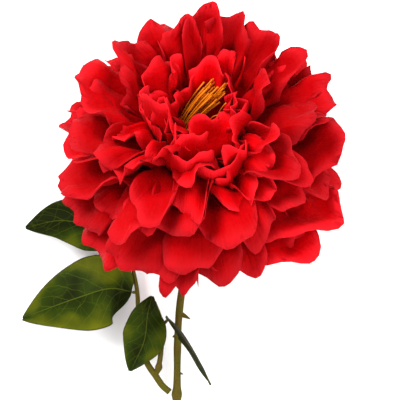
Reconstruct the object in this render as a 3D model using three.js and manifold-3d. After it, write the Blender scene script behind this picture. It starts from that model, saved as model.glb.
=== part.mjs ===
// A double red peony, cut and laid on a surface, with its leafy side stalk. Millimetres, +Z up.
// The bloom's face looks up and towards +Y, and the stem runs away along -Y.
// The origin is the flat spot under the bloom where its lowest petals press on the surface.
import * as THREE from "three";
import { mergeVertices } from "three/addons/utils/BufferGeometryUtils.js";
import Module from "manifold-3d";

// Bloom: petals on a slim core, their tips on a dome about a middle. The dome's axis leans towards +Y.
const BLOOM_MIDDLE = new THREE.Vector3(0, -45, 55);
const BLOOM_TILT_DEG = 38;
const BASE_TO_MIDDLE = 22;
const CORE_LENGTH = 31;
const CORE_RADIUS = 7.5;
const CORE_SIDES = 12;
const PETAL_THICK = 0.8;
const ROOT_RADIUS = 3;
const ROOT_TOP = 28;
const ROOT_DROP = 26;
const ROOT_DROP_OPEN = 105;
const OUTLINE_TURN_DEG = 128;
const HEAD_SHARE = 0.45;
const NEAR_SHARE = 0.2;
const SPINE_STEPS = 48;
const CLAW_SHARE = 0.12;
const ROWS_ALONG = [0.03, 0.48, 0.8, 1];
const CELLS_ACROSS = 4;
const NARROW_PETAL = 33;
const CELLS_ACROSS_NARROW = 3;
const ROWS_ALONG_INNER = [0.03, 0.6, 1];

// Stamens: thin threads on a small disc at the core's end. They leave it as one tuft, whose middle line bows
// to the left and leans towards the far right, and which spreads towards its tip.
const STAMEN_COUNT = 30;
const STAMEN_DISC_RADIUS = 5.5;
const STAMEN_DISC_THICK = 1.6;
const STAMEN_THREAD_RADIUS = 0.5;
const STAMEN_CLEAR = 0.9;
const TUFT_KNEE = new THREE.Vector3(-17, -33, 70);
const TUFT_TIP = new THREE.Vector3(8.5, -7, 87);
const TUFT_SPREADS = [4.3, 5, 7];

// Calyx: a shallow cup under the core, with rounded sepals.
const CALYX_HEIGHT = 6;
const CALYX_RADIUS = 7;
const SEPAL_COUNT = 5;
const SEPAL_LENGTH = 20;
const SEPAL_WIDTH = 15;
const SEPAL_OPEN_DEG = 112;

// Stem, side stalk and leaves.
const STEM_RADIUS = 2.1;
const STEM_SIDES = 10;
const STALK_SIDES = 8;
const LEAF_THICK = 0.8;
const LEAF_CELLS_ACROSS = 6;
const LEAF_CELLS_ALONG = 8;

// Gap between neighbouring pieces that meet.
const FIT_GAP = 0.3;
// Joins: slivers below the first size are smoothed away, and corners nearer than the second are parted.
const SLIVER = 0.05;
const TOUCH = 0.01;
const DRAW_BACK = 0.02;

// Three bulging shield petals close round the heart. They stand at their own angles around the axis and
// open from it, in degrees, and the first keeps the rings' petals away from the way that its face looks.
const SHIELD = {
  around: -62, open: 8, face: [-72, 28], clear: 27, head: 0.8, bend: -88, cup: 58, headCup: 66, yaw: 0,
  twist: 0, root: 10, rootRadius: 7, ruffle: 1.8, waves: 2.6, roll: 0.5, notch: 0.04, spoon: 0,
};
const SHIELD_RIGHT = {
  around: -14, open: 24, clear: 8, bend: -50, cup: 50, headCup: 60, yaw: 8, twist: 6, root: 14,
  rootRadius: 6.5, ruffle: 1.2, roll: -3, spoon: 0,
};
const SHIELD_LEFT = {
  around: -165, open: 27, clear: 12, head: 0.7, bend: -62, cup: 50, headCup: 50, yaw: 0, twist: 0,
  root: 12, rootRadius: 6.5, ruffle: 1.2, roll: -5, spoon: 0,
};
// The wide, nearly flat guard petals of the right side.
const GUARD = { bend: 10, cup: 14, headCup: 4, ruffle: 1.6, roll: -2, spoon: 3 };

// A guard petal that lies pressed flat on the surface.
const PRESSED = {
  bend: 6, cup: 8, headCup: 2, ruffle: 0.4, roll: 0, yaw: 0, twist: 0, sweep: 0, fold: 0, notch: 0.03,
  spoon: 0, floor: 0,
};
const BESIDE_PRESSED = { ...PRESSED, floor: 0.25 };

// Petals with places of their own: how far the tip lies to the right of the bloom's middle and above it,
// seen from above, then its reach from the middle, the petal's width, and what differs from the rule.
const PLACED = [
  // Heart.
  [6.5, 26, 51, 38, SHIELD],
  [6.5, 26, 52, 28, SHIELD_RIGHT],
  [6.5, 26, 51, 34, SHIELD_LEFT],
  [-16, 33, 48, 22, { cup: 40, headCup: 50, bend: -10 }],
  [-6.5, 44.5, 52, 22, { headCup: 30 }],
  [6.5, 56.5, 62, 26, { headCup: 30 }],
  [27, 34, 54, 22, { cup: 45, headCup: 40, yaw: 0, twist: 0 }],
  [31, 25, 56, 20, { headCup: 40, roll: -4 }],
  [36, 17.5, 60, 26, { headCup: 40, roll: 4, twist: 25 }],
  [-8.5, -12, 62, 22, { bend: 10, cup: 50, headCup: 60, roll: 5 }],
  [-11.5, -23.5, 66, 30, { bend: 15, cup: 40, headCup: 50, roll: 5 }],
  [13.5, -23.5, 66, 34, { bend: 15, cup: 30, headCup: 20, roll: 5, ruffle: 3 }],
  [30.5, -18.5, 66, 28, { bend: 15, cup: 40, headCup: 40, roll: 5, ruffle: 3 }],
  [48, -2.5, 72, 26, { cup: 60, headCup: 90, roll: 3, ruffle: 2 }],
  [47, -18.5, 76, 30, { cup: 40, headCup: 20, roll: 3 }],
  // Near side, first tier.
  [-2, -21, 68, 28, {}],
  [25, -31, 66, 34, { ruffle: 3 }],
  [38, -30, 68, 28, {}],
  [-21, 8, 60, 28, {}],
  [-40, 14, 66, 26, { headCup: 45, roll: 3 }],
  [-53.5, -5, 74, 32, {}],
  [-28, -9, 68, 22, {}],
  // Near side, second tier.
  [-27, -41, 78, 38, {}],
  [-44, -44.5, 82, 36, { cup: 40, headCup: 40 }],
  [-67.5, -27, 84, 40, {}],
  [-13, -47.5, 78, 40, {}],
  [14.5, -51.5, 78, 42, {}],
  [35.5, -48, 78, 34, { ruffle: 3 }],
  // Near side, hem.
  [-1.5, -63, 82, 34, {}],
  [-30, -68, 86, 42, {}],
  [-11.5, -78, 90, 22, { fold: 3 }],
  [4.5, -73, 80, 32, {}],
  [25, -69, 80, 30, {}],
  [-55, -58, 84, 32, {}],
  [-65, -41, 82, 30, {}],
  // Right side.
  [75.5, -35.5, 92, 54, GUARD],
  [53, -58.5, 88, 44, GUARD],
  [77.5, 2.5, 86, 50, { bend: 10, cup: 20, headCup: 10 }],
  [64, 19.5, 82, 30, {}],
  [72.5, 35.5, 90, 24, { cup: 40, headCup: 50 }],
  [68, 41, 82, 22, {}],
  // Far side.
  [52, 57.5, 84, 34, { notch: 0.2 }],
  [36, 72, 86, 26, { headCup: 40 }],
  [20.5, 75.5, 84, 30, { ruffle: 2.4 }],
  [2, 80, 85, 26, { headCup: 40, roll: 4 }],
  [-16, 72, 82, 24, { headCup: 30 }],
  [-28, 70, 80, 26, { headCup: -20 }],
  [-44.5, 63.5, 84, 26, {}],
  [-65.5, 45.5, 84, 36, { headCup: 24, ruffle: 0.9, twist: 0, notch: 0 }],
  [33.5, 59, 70, 24, { headCup: 30 }],
  [44.5, 40.5, 74, 22, { headCup: 50 }],
  [-32, 47.5, 68, 26, {}],
  [-46.5, 46, 76, 28, {}],
  [-17, 56, 66, 24, {}],
  [19.5, 58.5, 66, 24, {}],
  // Left side.
  [-77, 8, 84, 42, {}],
  [-66, 29, 82, 30, {}],
];
// Petals under the bloom, on which it lies: angle around the axis, open, reach and width.
const UNDER = [
  [85, 106, 92, 50, PRESSED],
  [47, 106, 88, 46, BESIDE_PRESSED],
  [124, 106, 88, 46, BESIDE_PRESSED],
];
const FIRST_UNDER_SEED = 180;
const FIRST_PLACED_SEED = 101;
const PLACED_CLEAR_DEG = 26;

// Rings that fill the dome all round: how far open, reach, count, width and seed.
const RINGS = [
  [30, 52, 5, 27, 300],
  [44, 62, 7, 31, 330],
  [58, 70, 8, 36, 360],
  [74, 76, 8, 42, 390],
  [90, 80, 8, 50, 420],
  [106, 82, 7, 58, 450],
];

const INNER = { cells: CELLS_ACROSS_NARROW, rows: ROWS_ALONG_INNER };

const wasm = await Module();
wasm.setup();
const radians = THREE.MathUtils.degToRad;
const degrees = THREE.MathUtils.radToDeg;
const clamp = THREE.MathUtils.clamp;

// Bloom axes: out through the face, across to the right, and the third towards the far side.
const tilt = radians(BLOOM_TILT_DEG);
const AXIS = new THREE.Vector3(0, Math.sin(tilt), Math.cos(tilt));
const RIGHT = new THREE.Vector3(1, 0, 0);
const FAR = new THREE.Vector3(0, Math.cos(tilt), -Math.sin(tilt));
const BLOOM_BASE = BLOOM_MIDDLE.clone().addScaledVector(AXIS, -BASE_TO_MIDDLE);
const TO_AXIS = new THREE.Quaternion().setFromUnitVectors(new THREE.Vector3(0, 0, 1), AXIS);

// A repeatable draw from 0 to 1 for each number, and the same spread from -size to size.
function draw(number) {
  const wide = Math.sin(number * 12.9898 + 4.1414) * 43758.5453;
  return wide - Math.floor(wide);
}
function jitter(number, size) {
  return (2 * draw(number) - 1) * size;
}

// Linear reading of a table of rising places and their values.
function read(places, values, at) {
  const last = places.length - 1;
  if (at >= places[last]) return values[last];
  const next = Math.max(1, places.findIndex((place) => place > at));
  const share = clamp((at - places[next - 1]) / (places[next] - places[next - 1]), 0, 1);
  return values[next - 1] + (values[next] - values[next - 1]) * share;
}

// A closed mesh as a solid that can be joined and cut.
function solidOf(geometry) {
  const bare = geometry.index ? geometry.toNonIndexed() : geometry.clone();
  bare.deleteAttribute("normal");
  bare.deleteAttribute("uv");
  const merged = mergeVertices(bare, 1e-4);
  return new wasm.Manifold(
    new wasm.Mesh({
      numProp: 3,
      vertProperties: new Float32Array(merged.attributes.position.array),
      triVerts: new Uint32Array(merged.index.array),
    }),
  );
}

// Where two faces of a body only just touch, their corners are drawn back into the body.
function parted(geometry) {
  const places = geometry.attributes.position;
  geometry.computeVertexNormals();
  const owners = new Map();
  for (let i = 0; i < places.count; i++) {
    const key = [places.getX(i), places.getY(i), places.getZ(i)].map((v) => Math.round(v / TOUCH)).join();
    owners.set(key, [...(owners.get(key) ?? []), i]);
  }
  for (const touching of owners.values())
    if (touching.length > 1)
      for (const i of touching) {
        const corner = new THREE.Vector3().fromBufferAttribute(places, i);
        const normal = new THREE.Vector3().fromBufferAttribute(geometry.attributes.normal, i);
        places.setXYZ(i, ...corner.addScaledVector(normal, -DRAW_BACK).toArray());
      }
  geometry.deleteAttribute("normal");
  return geometry;
}

// A solid back as a geometry, without the slivers that joins leave. Of a joined body only the main shell
// is kept, so sealed hollows fill up.
function geometryOf(solid) {
  const shells = solid.simplify(SLIVER).decompose().sort((a, b) => b.volume() - a.volume());
  const mesh = shells[0].getMesh();
  const geometry = new THREE.BufferGeometry();
  geometry.setAttribute("position", new THREE.BufferAttribute(new Float32Array(mesh.vertProperties), 3));
  geometry.setIndex(new THREE.BufferAttribute(new Uint32Array(mesh.triVerts), 1));
  return parted(geometry);
}

function joined(solids) {
  return solids.reduce((whole, solid) => whole.add(solid));
}

// A thin solid on a grid of points: each face lies half the thickness along the grid's own normals.
// Where it would sink below the given floor it lies flat on it.
function sheetSolid(grid, thick, floor) {
  const rows = grid.length;
  const columns = grid[0].length;
  grid.forEach((row) => row.forEach((point) => (point.z = Math.max(point.z, floor + thick / 2))));
  const at = (i, j) => grid[clamp(i, 0, rows - 1)][clamp(j, 0, columns - 1)];
  const corners = [];
  for (const side of [1, -1])
    for (let i = 0; i < rows; i++)
      for (let j = 0; j < columns; j++) {
        const along = at(i + 1, j).clone().sub(at(i - 1, j));
        const across = at(i, j + 1).clone().sub(at(i, j - 1));
        const normal = across.cross(along).normalize();
        const corner = at(i, j).clone().addScaledVector(normal, side * thick / 2);
        corner.z = Math.max(corner.z, floor);
        corners.push(corner.x, corner.y, corner.z);
      }
  const index = (side, i, j) => (side * rows + i) * columns + j;
  const faces = [];
  const quad = (a, b, c, d) => faces.push(a, b, c, a, c, d);
  const rim = rows - 1;
  const edge = columns - 1;
  for (let i = 0; i < rim; i++)
    for (let j = 0; j < edge; j++) {
      quad(index(0, i, j), index(0, i, j + 1), index(0, i + 1, j + 1), index(0, i + 1, j));
      const [a, b, c, d] = [[i, j], [i, j + 1], [i + 1, j + 1], [i + 1, j]].map((cell) => index(1, ...cell));
      faces.push(a, c, b, a, d, c);
    }
  for (let j = 0; j < edge; j++) {
    quad(index(1, 0, j), index(1, 0, j + 1), index(0, 0, j + 1), index(0, 0, j));
    quad(index(0, rim, j), index(0, rim, j + 1), index(1, rim, j + 1), index(1, rim, j));
  }
  for (let i = 0; i < rim; i++) {
    quad(index(0, i, 0), index(0, i + 1, 0), index(1, i + 1, 0), index(1, i, 0));
    quad(index(1, i, edge), index(1, i + 1, edge), index(0, i + 1, edge), index(0, i, edge));
  }
  const geometry = new THREE.BufferGeometry();
  geometry.setAttribute("position", new THREE.BufferAttribute(new Float32Array(corners), 3));
  geometry.setIndex(faces);
  const solid = solidOf(geometry);
  if (solid.volume() > 0) return solid;
  for (let k = 0; k < faces.length; k += 3) [faces[k + 1], faces[k + 2]] = [faces[k + 2], faces[k + 1]];
  geometry.setIndex(faces);
  return solidOf(geometry);
}

function smoothLine(points) {
  return new THREE.CatmullRomCurve3(points.map((p) => new THREE.Vector3(...p)), false, "centripetal");
}

// A round bar along a smooth line through the points, with a radius at each point and closed ends.
function barSolid(points, radii, sides, steps) {
  const line = smoothLine(points);
  const frames = line.computeFrenetFrames(steps, false);
  const corners = [];
  for (let i = 0; i <= steps; i++) {
    const share = i / steps;
    const middle = line.getPointAt(share);
    const radius = read(radii.map((_, k) => k / (radii.length - 1)), radii, share);
    for (let j = 0; j < sides; j++) {
      const turn = (2 * Math.PI * j) / sides;
      const corner = middle
        .clone()
        .addScaledVector(frames.normals[i], radius * Math.cos(turn))
        .addScaledVector(frames.binormals[i], radius * Math.sin(turn));
      corners.push(corner.x, corner.y, corner.z);
    }
  }
  const ends = [line.getPointAt(0), line.getPointAt(1)];
  ends.forEach((end) => corners.push(end.x, end.y, end.z));
  const first = (steps + 1) * sides;
  const faces = [];
  for (let i = 0; i < steps; i++)
    for (let j = 0; j < sides; j++) {
      const [a, b] = [i * sides + j, i * sides + ((j + 1) % sides)];
      faces.push(a, b, b + sides, a, b + sides, a + sides);
    }
  for (let j = 0; j < sides; j++) {
    const next = (j + 1) % sides;
    faces.push(first, next, j, first + 1, steps * sides + j, steps * sides + next);
  }
  const geometry = new THREE.BufferGeometry();
  geometry.setAttribute("position", new THREE.BufferAttribute(new Float32Array(corners), 3));
  geometry.setIndex(faces);
  return solidOf(geometry);
}

// Direction from the bloom's middle for an angle around its axis and an angle open from it.
function direction(around, open) {
  return AXIS.clone()
    .multiplyScalar(Math.cos(open))
    .addScaledVector(RIGHT, Math.sin(open) * Math.cos(around))
    .addScaledVector(FAR, Math.sin(open) * Math.sin(around));
}

// Direction away from the bloom's axis for an angle around it.
function outwardAt(around) {
  return RIGHT.clone().multiplyScalar(Math.cos(around)).addScaledVector(FAR, Math.sin(around));
}

// The rule for a petal: inner ones stand and curl in, outer ones spread and bend back, and those on the
// near side are cupped least. Angles of its own, in degrees, take the place of those that its tip gives.
function petalOf(tipAround, tipOpen, reach, width, seed, own) {
  const around = "around" in own ? radians(own.around) : tipAround;
  const open = "open" in own ? radians(own.open) : tipOpen;
  const openDeg = degrees(open);
  const isNear = -Math.sin(around) > NEAR_SHARE;
  return {
    root: Math.max(1, ROOT_TOP - (ROOT_DROP * openDeg) / ROOT_DROP_OPEN),
    rootRadius: ROOT_RADIUS,
    head: HEAD_SHARE,
    bend: read([0, 20, 35, 60, 90, 120], [-50, -20, 5, 30, 35, 30], openDeg) + jitter(seed + 11, 14),
    cup: (isNear ? 40 : 58) + jitter(seed + 12, 10),
    headCup: (isNear ? 50 : 58) + jitter(seed + 13, 26),
    ruffle: 1.3 + jitter(seed + 14, 0.7),
    waves: 1.5 + jitter(seed + 15, 0.5),
    roll: jitter(seed + 16, 2.5) - 3.5,
    yaw: 9 + jitter(seed + 17, 8),
    twist: jitter(seed + 18, 24),
    sweep: jitter(seed + 19, 4),
    fold: jitter(seed + 20, 1.2),
    notch: Math.max(0, 0.14 * draw(seed + 21) - 0.06),
    floor: 0.4 + draw(seed + 22),
    spoon: 7 + jitter(seed + 23, 4),
    clear: PLACED_CLEAR_DEG,
    cells: width < NARROW_PETAL ? CELLS_ACROSS_NARROW : CELLS_ACROSS,
    rows: ROWS_ALONG,
    ...own,
    around, open, reach, width, seed,
  };
}

function placedPetals() {
  return PLACED.map(([right, up, reach, width, own], i) => {
    const near = Math.sqrt(Math.max(0, reach * reach - right * right - up * up));
    const toTip = new THREE.Vector3(right, up, near).normalize();
    const around = Math.atan2(toTip.dot(FAR), toTip.dot(RIGHT));
    const open = Math.acos(clamp(toTip.dot(AXIS), -1, 1));
    return petalOf(around, open, reach, width, FIRST_PLACED_SEED + i, own);
  });
}

function underPetals() {
  return UNDER.map(([around, open, reach, width, own], i) =>
    petalOf(radians(around), radians(open), reach, width, FIRST_UNDER_SEED + i, own),
  );
}

// The way a petal takes up on the dome: its face's, in degrees, where it has one, or else its tip's.
function facing(petal) {
  return petal.face ? direction(...petal.face.map(radians)) : direction(petal.around, petal.open);
}

// Ring petals, left out where a placed petal already has its place.
function ringPetals(placed) {
  const made = [];
  for (const [openDeg, reach, count, width, seed] of RINGS)
    for (let i = 0; i < count; i++) {
      const own = seed + i * 1.37;
      const around = (2 * Math.PI * (i + draw(seed) + jitter(own, 0.22))) / count;
      const open = radians(openDeg + jitter(own + 5, 5));
      const toTip = direction(around, open);
      const taken = placed.some((p) => toTip.angleTo(facing(p)) < radians(p.clear));
      const size = [reach + jitter(own + 6, 3), width + jitter(own + 7, 4)];
      if (!taken) made.push(petalOf(around, open, ...size, own + 50, INNER));
    }
  return made;
}

// The petal's midrib, as its length and its height, distance from the axis and angle at even steps.
function midrib(petal) {
  const rise = BASE_TO_MIDDLE + petal.reach * Math.cos(petal.open) - petal.root;
  const run = petal.reach * Math.sin(petal.open) - petal.rootRadius;
  const chordAngle = Math.atan2(run, rise);
  const half = radians(petal.bend) / 2;
  const length = (Math.hypot(rise, run) * half) / Math.sin(half);
  const [shares, heights, outs, angles] = [[], [], [], []];
  let height = petal.root;
  let out = petal.rootRadius;
  for (let k = 0; k <= SPINE_STEPS; k++) {
    const share = k / SPINE_STEPS;
    const angle = chordAngle + radians(petal.bend) * (share ** 1.6 - 1 / 2.6);
    if (k) {
      const step = length / SPINE_STEPS / 2;
      height += step * (Math.cos(angle) + Math.cos(angles[k - 1]));
      out += step * (Math.sin(angle) + Math.sin(angles[k - 1]));
    }
    shares.push(share);
    heights.push(height);
    outs.push(out);
    angles.push(angle);
  }
  return { length, shares, heights, outs, angles };
}

// A point of the petal's middle surface, for s from claw to rim and t from side to side. The flat petal is
// a fan of rays from a narrow claw to a round rim. It is then cupped, ruffled and rolled about its midrib.
function petalPoint(petal, rib, s, t) {
  const { seed, width } = petal;
  const turn = radians(OUTLINE_TURN_DEG) * t;
  const head = petal.head * width;
  const lobes =
    -petal.notch * Math.exp(-(Math.abs((t - jitter(seed + 31, 0.35)) / 0.1) ** 1.5)) +
    0.035 * Math.sin(5 * t + 2 * Math.PI * draw(seed + 33)) +
    0.02 * Math.sin(10 * t + 2 * Math.PI * draw(seed + 34));
  const spread = Math.max(s, CLAW_SHARE) * (1 + lobes * s);
  const x = spread * 0.5 * width * Math.sin(turn) + petal.sweep * s * s;
  const y = s * (1 + lobes * s) * (rib.length - head + head * Math.cos(turn));
  const share = clamp(y / rib.length, 0, 1.2);
  const ease = THREE.MathUtils.smoothstep(share, 0.25, 0.85);
  let cup = radians(petal.cup + (petal.headCup - petal.cup) * ease);
  if (Math.abs(cup) < 1e-3) cup = 1e-3;
  const arc = (0.5 * width) / cup;
  const side = arc * Math.sin(x / arc);
  const wave = petal.waves * Math.PI * t;
  const broad = Math.sin(wave + 2 * Math.PI * draw(seed + 1));
  const fine = Math.sin(2.3 * wave + 2 * Math.PI * draw(seed + 2));
  const lift =
    arc * (1 - Math.cos(x / arc)) +
    petal.ruffle * s * s * (broad + 0.5 * fine) +
    petal.roll * clamp((s - 0.7) / 0.3, 0, 1) ** 2 +
    petal.spoon * clamp((share - 0.5) / 0.5, 0, 1.4) ** 2 -
    petal.fold * s * Math.exp(-((t / 0.28) ** 2));
  const angle = read(rib.shares, rib.angles, share);
  const over = Math.max(0, share - 1) * rib.length;
  const height = read(rib.shares, rib.heights, share) + over * Math.cos(angle);
  const out = read(rib.shares, rib.outs, share) + over * Math.sin(angle);
  const roll = radians(petal.yaw + petal.twist * s);
  const across = side * Math.cos(roll) - lift * Math.sin(roll);
  const inward = side * Math.sin(roll) + lift * Math.cos(roll);
  const outward = outwardAt(petal.around);
  return BLOOM_BASE.clone()
    .addScaledVector(AXIS, height + Math.sin(angle) * inward)
    .addScaledVector(outward, out - Math.cos(angle) * inward)
    .addScaledVector(new THREE.Vector3().crossVectors(AXIS, outward), across);
}

function petalSolid(petal) {
  const rib = midrib(petal);
  const grid = petal.rows.map((s) =>
    Array.from({ length: petal.cells + 1 }, (_, j) => petalPoint(petal, rib, s, (2 * j) / petal.cells - 1)),
  );
  return sheetSolid(grid, PETAL_THICK, petal.floor);
}

// A body turned about the bloom's axis: a profile of radii and heights from the bloom's base.
function turnedSolid(profile, sides) {
  const geometry = new THREE.LatheGeometry(profile.map(([r, h]) => new THREE.Vector2(r, h)), sides);
  geometry.rotateX(Math.PI / 2);
  geometry.applyQuaternion(TO_AXIS);
  geometry.translate(BLOOM_BASE.x, BLOOM_BASE.y, BLOOM_BASE.z);
  return solidOf(geometry);
}

function coreSolid() {
  const end = CORE_RADIUS * 0.8;
  const foot = [[0, 0], [end, 0], [CORE_RADIUS, 5]];
  const top = [[CORE_RADIUS, CORE_LENGTH - 8], [end, CORE_LENGTH], [0, CORE_LENGTH]];
  return turnedSolid([...foot, ...top], CORE_SIDES);
}

// A line of the tuft, from its disc by its knee to its tip: offset by shares of the spreads there, in the
// direction given around the tuft, and with its tip drawn back to a share of the whole length.
function tuftLine(around, ring, long) {
  const foot = BLOOM_BASE.clone().addScaledVector(AXIS, CORE_LENGTH + FIT_GAP + STAMEN_DISC_THICK / 2);
  const ahead = TUFT_TIP.clone().sub(foot).normalize();
  const other = new THREE.Vector3().crossVectors(ahead, RIGHT).normalize();
  const tip = foot.clone().lerp(TUFT_TIP, long);
  const points = [foot, TUFT_KNEE.clone(), tip].map((point, k) =>
    point
      .addScaledVector(RIGHT, TUFT_SPREADS[k] * ring * Math.cos(around))
      .addScaledVector(k ? other : FAR, TUFT_SPREADS[k] * ring * Math.sin(around)),
  );
  return new THREE.QuadraticBezierCurve3(...points);
}

function discSolid(radius, foot, thick) {
  return turnedSolid([[0, foot], [radius, foot], [radius, foot + thick], [0, foot + thick]], CORE_SIDES);
}

// The room that the stamens take: the disc and balls along the tuft, each pair in one hull.
function stamenRoom() {
  const line = tuftLine(0, 0, 1);
  const disc = discSolid(STAMEN_DISC_RADIUS + STAMEN_CLEAR, CORE_LENGTH, 2);
  const balls = [0.25, 0.5, 0.75, 1].map((share) => {
    const spread = read([0, 0.5, 1], TUFT_SPREADS, share);
    const ball = wasm.Manifold.sphere(spread + STAMEN_THREAD_RADIUS + 2 * STAMEN_CLEAR, 8);
    return ball.translate(line.getPoint(share).toArray());
  });
  return joined(balls.map((ball, k) => wasm.Manifold.hull([k ? balls[k - 1] : disc, ball])));
}

function petals() {
  const placed = [...placedPetals(), ...underPetals()];
  const all = [...placed, ...ringPetals(placed)];
  return geometryOf(joined([coreSolid(), ...all.map(petalSolid)]).subtract(stamenRoom()));
}

function onAxis(radius, around, height) {
  return BLOOM_BASE.clone()
    .addScaledVector(AXIS, height)
    .addScaledVector(RIGHT, radius * Math.cos(around))
    .addScaledVector(FAR, radius * Math.sin(around));
}

function stamens() {
  const disc = discSolid(STAMEN_DISC_RADIUS, CORE_LENGTH + FIT_GAP, STAMEN_DISC_THICK);
  const threads = Array.from({ length: STAMEN_COUNT }, (_, i) => {
    const ring = Math.sqrt((i + 0.5) / STAMEN_COUNT);
    const line = tuftLine(i * Math.PI * (3 - Math.sqrt(5)), ring, 0.7 + 0.3 * draw(i + 600));
    const points = line.getPoints(4).map((point) => point.toArray());
    return barSolid(points, [STAMEN_THREAD_RADIUS, STAMEN_THREAD_RADIUS * 1.25], 3, 2);
  });
  return geometryOf(joined([disc, ...threads]));
}

// Calyx: a cup that narrows to the stem, with sepals that spread under the lowest petals.
function calyx() {
  const top = -FIT_GAP;
  const foot = top - CALYX_HEIGHT;
  const wall = [[STEM_RADIUS * 1.5, foot], [CALYX_RADIUS, top - 1.5], [CALYX_RADIUS * 0.9, top]];
  const cup = turnedSolid([[0, foot], ...wall, [0, top]], CORE_SIDES);
  const sepals = Array.from({ length: SEPAL_COUNT }, (_, k) => {
    const around = (2 * Math.PI * (k + 0.3)) / SEPAL_COUNT;
    const outward = outwardAt(around);
    const across = new THREE.Vector3().crossVectors(AXIS, outward);
    const grid = [0.05, 0.3, 0.55, 0.8, 1].map((s) =>
      [-1, -0.5, 0, 0.5, 1].map((t) => {
        const half = (SEPAL_WIDTH / 2) * Math.sin(Math.PI * (0.14 + 0.76 * s));
        const open = radians(SEPAL_OPEN_DEG);
        const along = SEPAL_LENGTH * s * (1 - 0.12 * t * t * s);
        return onAxis(3, around, -3.6)
          .addScaledVector(outward, along * Math.sin(open))
          .addScaledVector(AXIS, along * Math.cos(open) + 2.2 * t * t * s)
          .addScaledVector(across, half * t);
      }),
    );
    return sheetSolid(grid, PETAL_THICK, FIT_GAP);
  });
  return geometryOf(joined([cup, ...sepals]));
}

// Main stem: from the calyx it bends down to the surface and runs to its cut end, with a swollen node
// where the side stalk leaves and a few small thorn-like spurs.
const NODE_POINT = [-13.2, -181, 10.5];
const NECK_DROP = 2 * FIT_GAP + CALYX_HEIGHT;
const STEM_LINE = [
  BLOOM_BASE.clone().addScaledVector(AXIS, -NECK_DROP).toArray(),
  BLOOM_BASE.clone().addScaledVector(AXIS, -NECK_DROP - 5).toArray(),
  [-2, -75, 21],
  [-6.3, -97, 17.5],
  [-11.2, -128, 15],
  [-12.8, -150, 13.5],
  NODE_POINT,
  [-15, -215, 7],
  [-19, -250, 3.8],
  [-23, -274, 2.4],
];
const STEM_RADII = [3.2, 2.7, 2.4, 2.1, 2.1, 2.1, 2.3, 2.3, 2.4, 2.4];
// Spurs: the place, the way it points, its length and its width.
const SPURS = [
  [[-11.1, -134.8, 14.6], [0.92, -0.38, 0.1], 4, 3.4],
  [[-13.1, -168.5, 11.6], [1, -0.1, 0.1], 1.6, 2.4],
  [[-12.8, -147.5, 13.7], [-1, 0.05, 0.1], 0.9, 3.4],
  [[-16, -222, 6.3], [-0.9, -0.2, 0.4], 2.4, 2.8],
];

function spurSolid([place, way, length, width]) {
  const direct = new THREE.Vector3(...way).normalize();
  const cone = new THREE.CylinderGeometry(0.15, width / 2, length + STEM_RADIUS, 6);
  cone.translate(0, (length + STEM_RADIUS) / 2, 0);
  cone.applyQuaternion(new THREE.Quaternion().setFromUnitVectors(new THREE.Vector3(0, 1, 0), direct));
  cone.translate(...place);
  return solidOf(cone);
}

function stem() {
  const [x, y, z] = NODE_POINT;
  const main = barSolid(STEM_LINE, STEM_RADII, STEM_SIDES, 34);
  const swellLine = [[x + 0.1, y + 5, z + 0.5], NODE_POINT, [x - 0.4, y - 5, z - 0.5]];
  const swell = barSolid(swellLine, [2.2, 3.2, 2.3], STEM_SIDES, 4);
  return geometryOf(joined([main, swell, ...SPURS.map(spurSolid)]));
}

// Side stalk: it leaves the node, forks, and its two arms carry the leaflets.
const FORK = [-25.6, -170, 11];
const STALK_LINE = [
  [-17.4, -179.6, 10.6],
  [-21.5, -176, 10.8],
  FORK,
  [-30.3, -163, 10],
  [-34, -149, 9],
  [-35.3, -135, 8.5],
  [-36.2, -121, 8.5],
  [-39.5, -106, 9],
  [-45, -93.9, 11],
];
const STALK_RADII = [1.9, 1.9, 1.8, 1.5, 1.4, 1.3, 1.2, 1.1, 1];
const ARM_LINE = [FORK, [-23.8, -165.5, 12.2], [-21.8, -151, 15], [-22.6, -137, 18.3], [-26, -127.5, 20.7]];
const ARM_RADII = [1.6, 1.5, 1.3, 1.2, 1.1];
const KNUCKLE_LINE = [[-24.6, -168, 11.6], [-23.6, -165.3, 12.3], [-23.2, -162.5, 12.8]];
const FOOT_LINE = [[-36, -123, 8.5], [-38.4, -122.5, 10.7]];
const TWIG_LINE = [[-22.2, -141.5, 17.2], [-20, -139.6, 17.8], [-18.4, -137.8, 18.8]];

function stalk() {
  const long = barSolid(STALK_LINE, STALK_RADII, STALK_SIDES, 20);
  const arm = barSolid(ARM_LINE, ARM_RADII, STALK_SIDES, 10);
  const knuckle = barSolid(KNUCKLE_LINE, [1.5, 2.2, 1.4], STALK_SIDES, 4);
  const twig = barSolid(TWIG_LINE, [0.9, 0.9, 0.8], STALK_SIDES, 3);
  const foot = barSolid(FOOT_LINE, [0.9, 0.8], STALK_SIDES, 2);
  return geometryOf(joined([long, arm, knuckle, twig, foot]));
}

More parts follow.
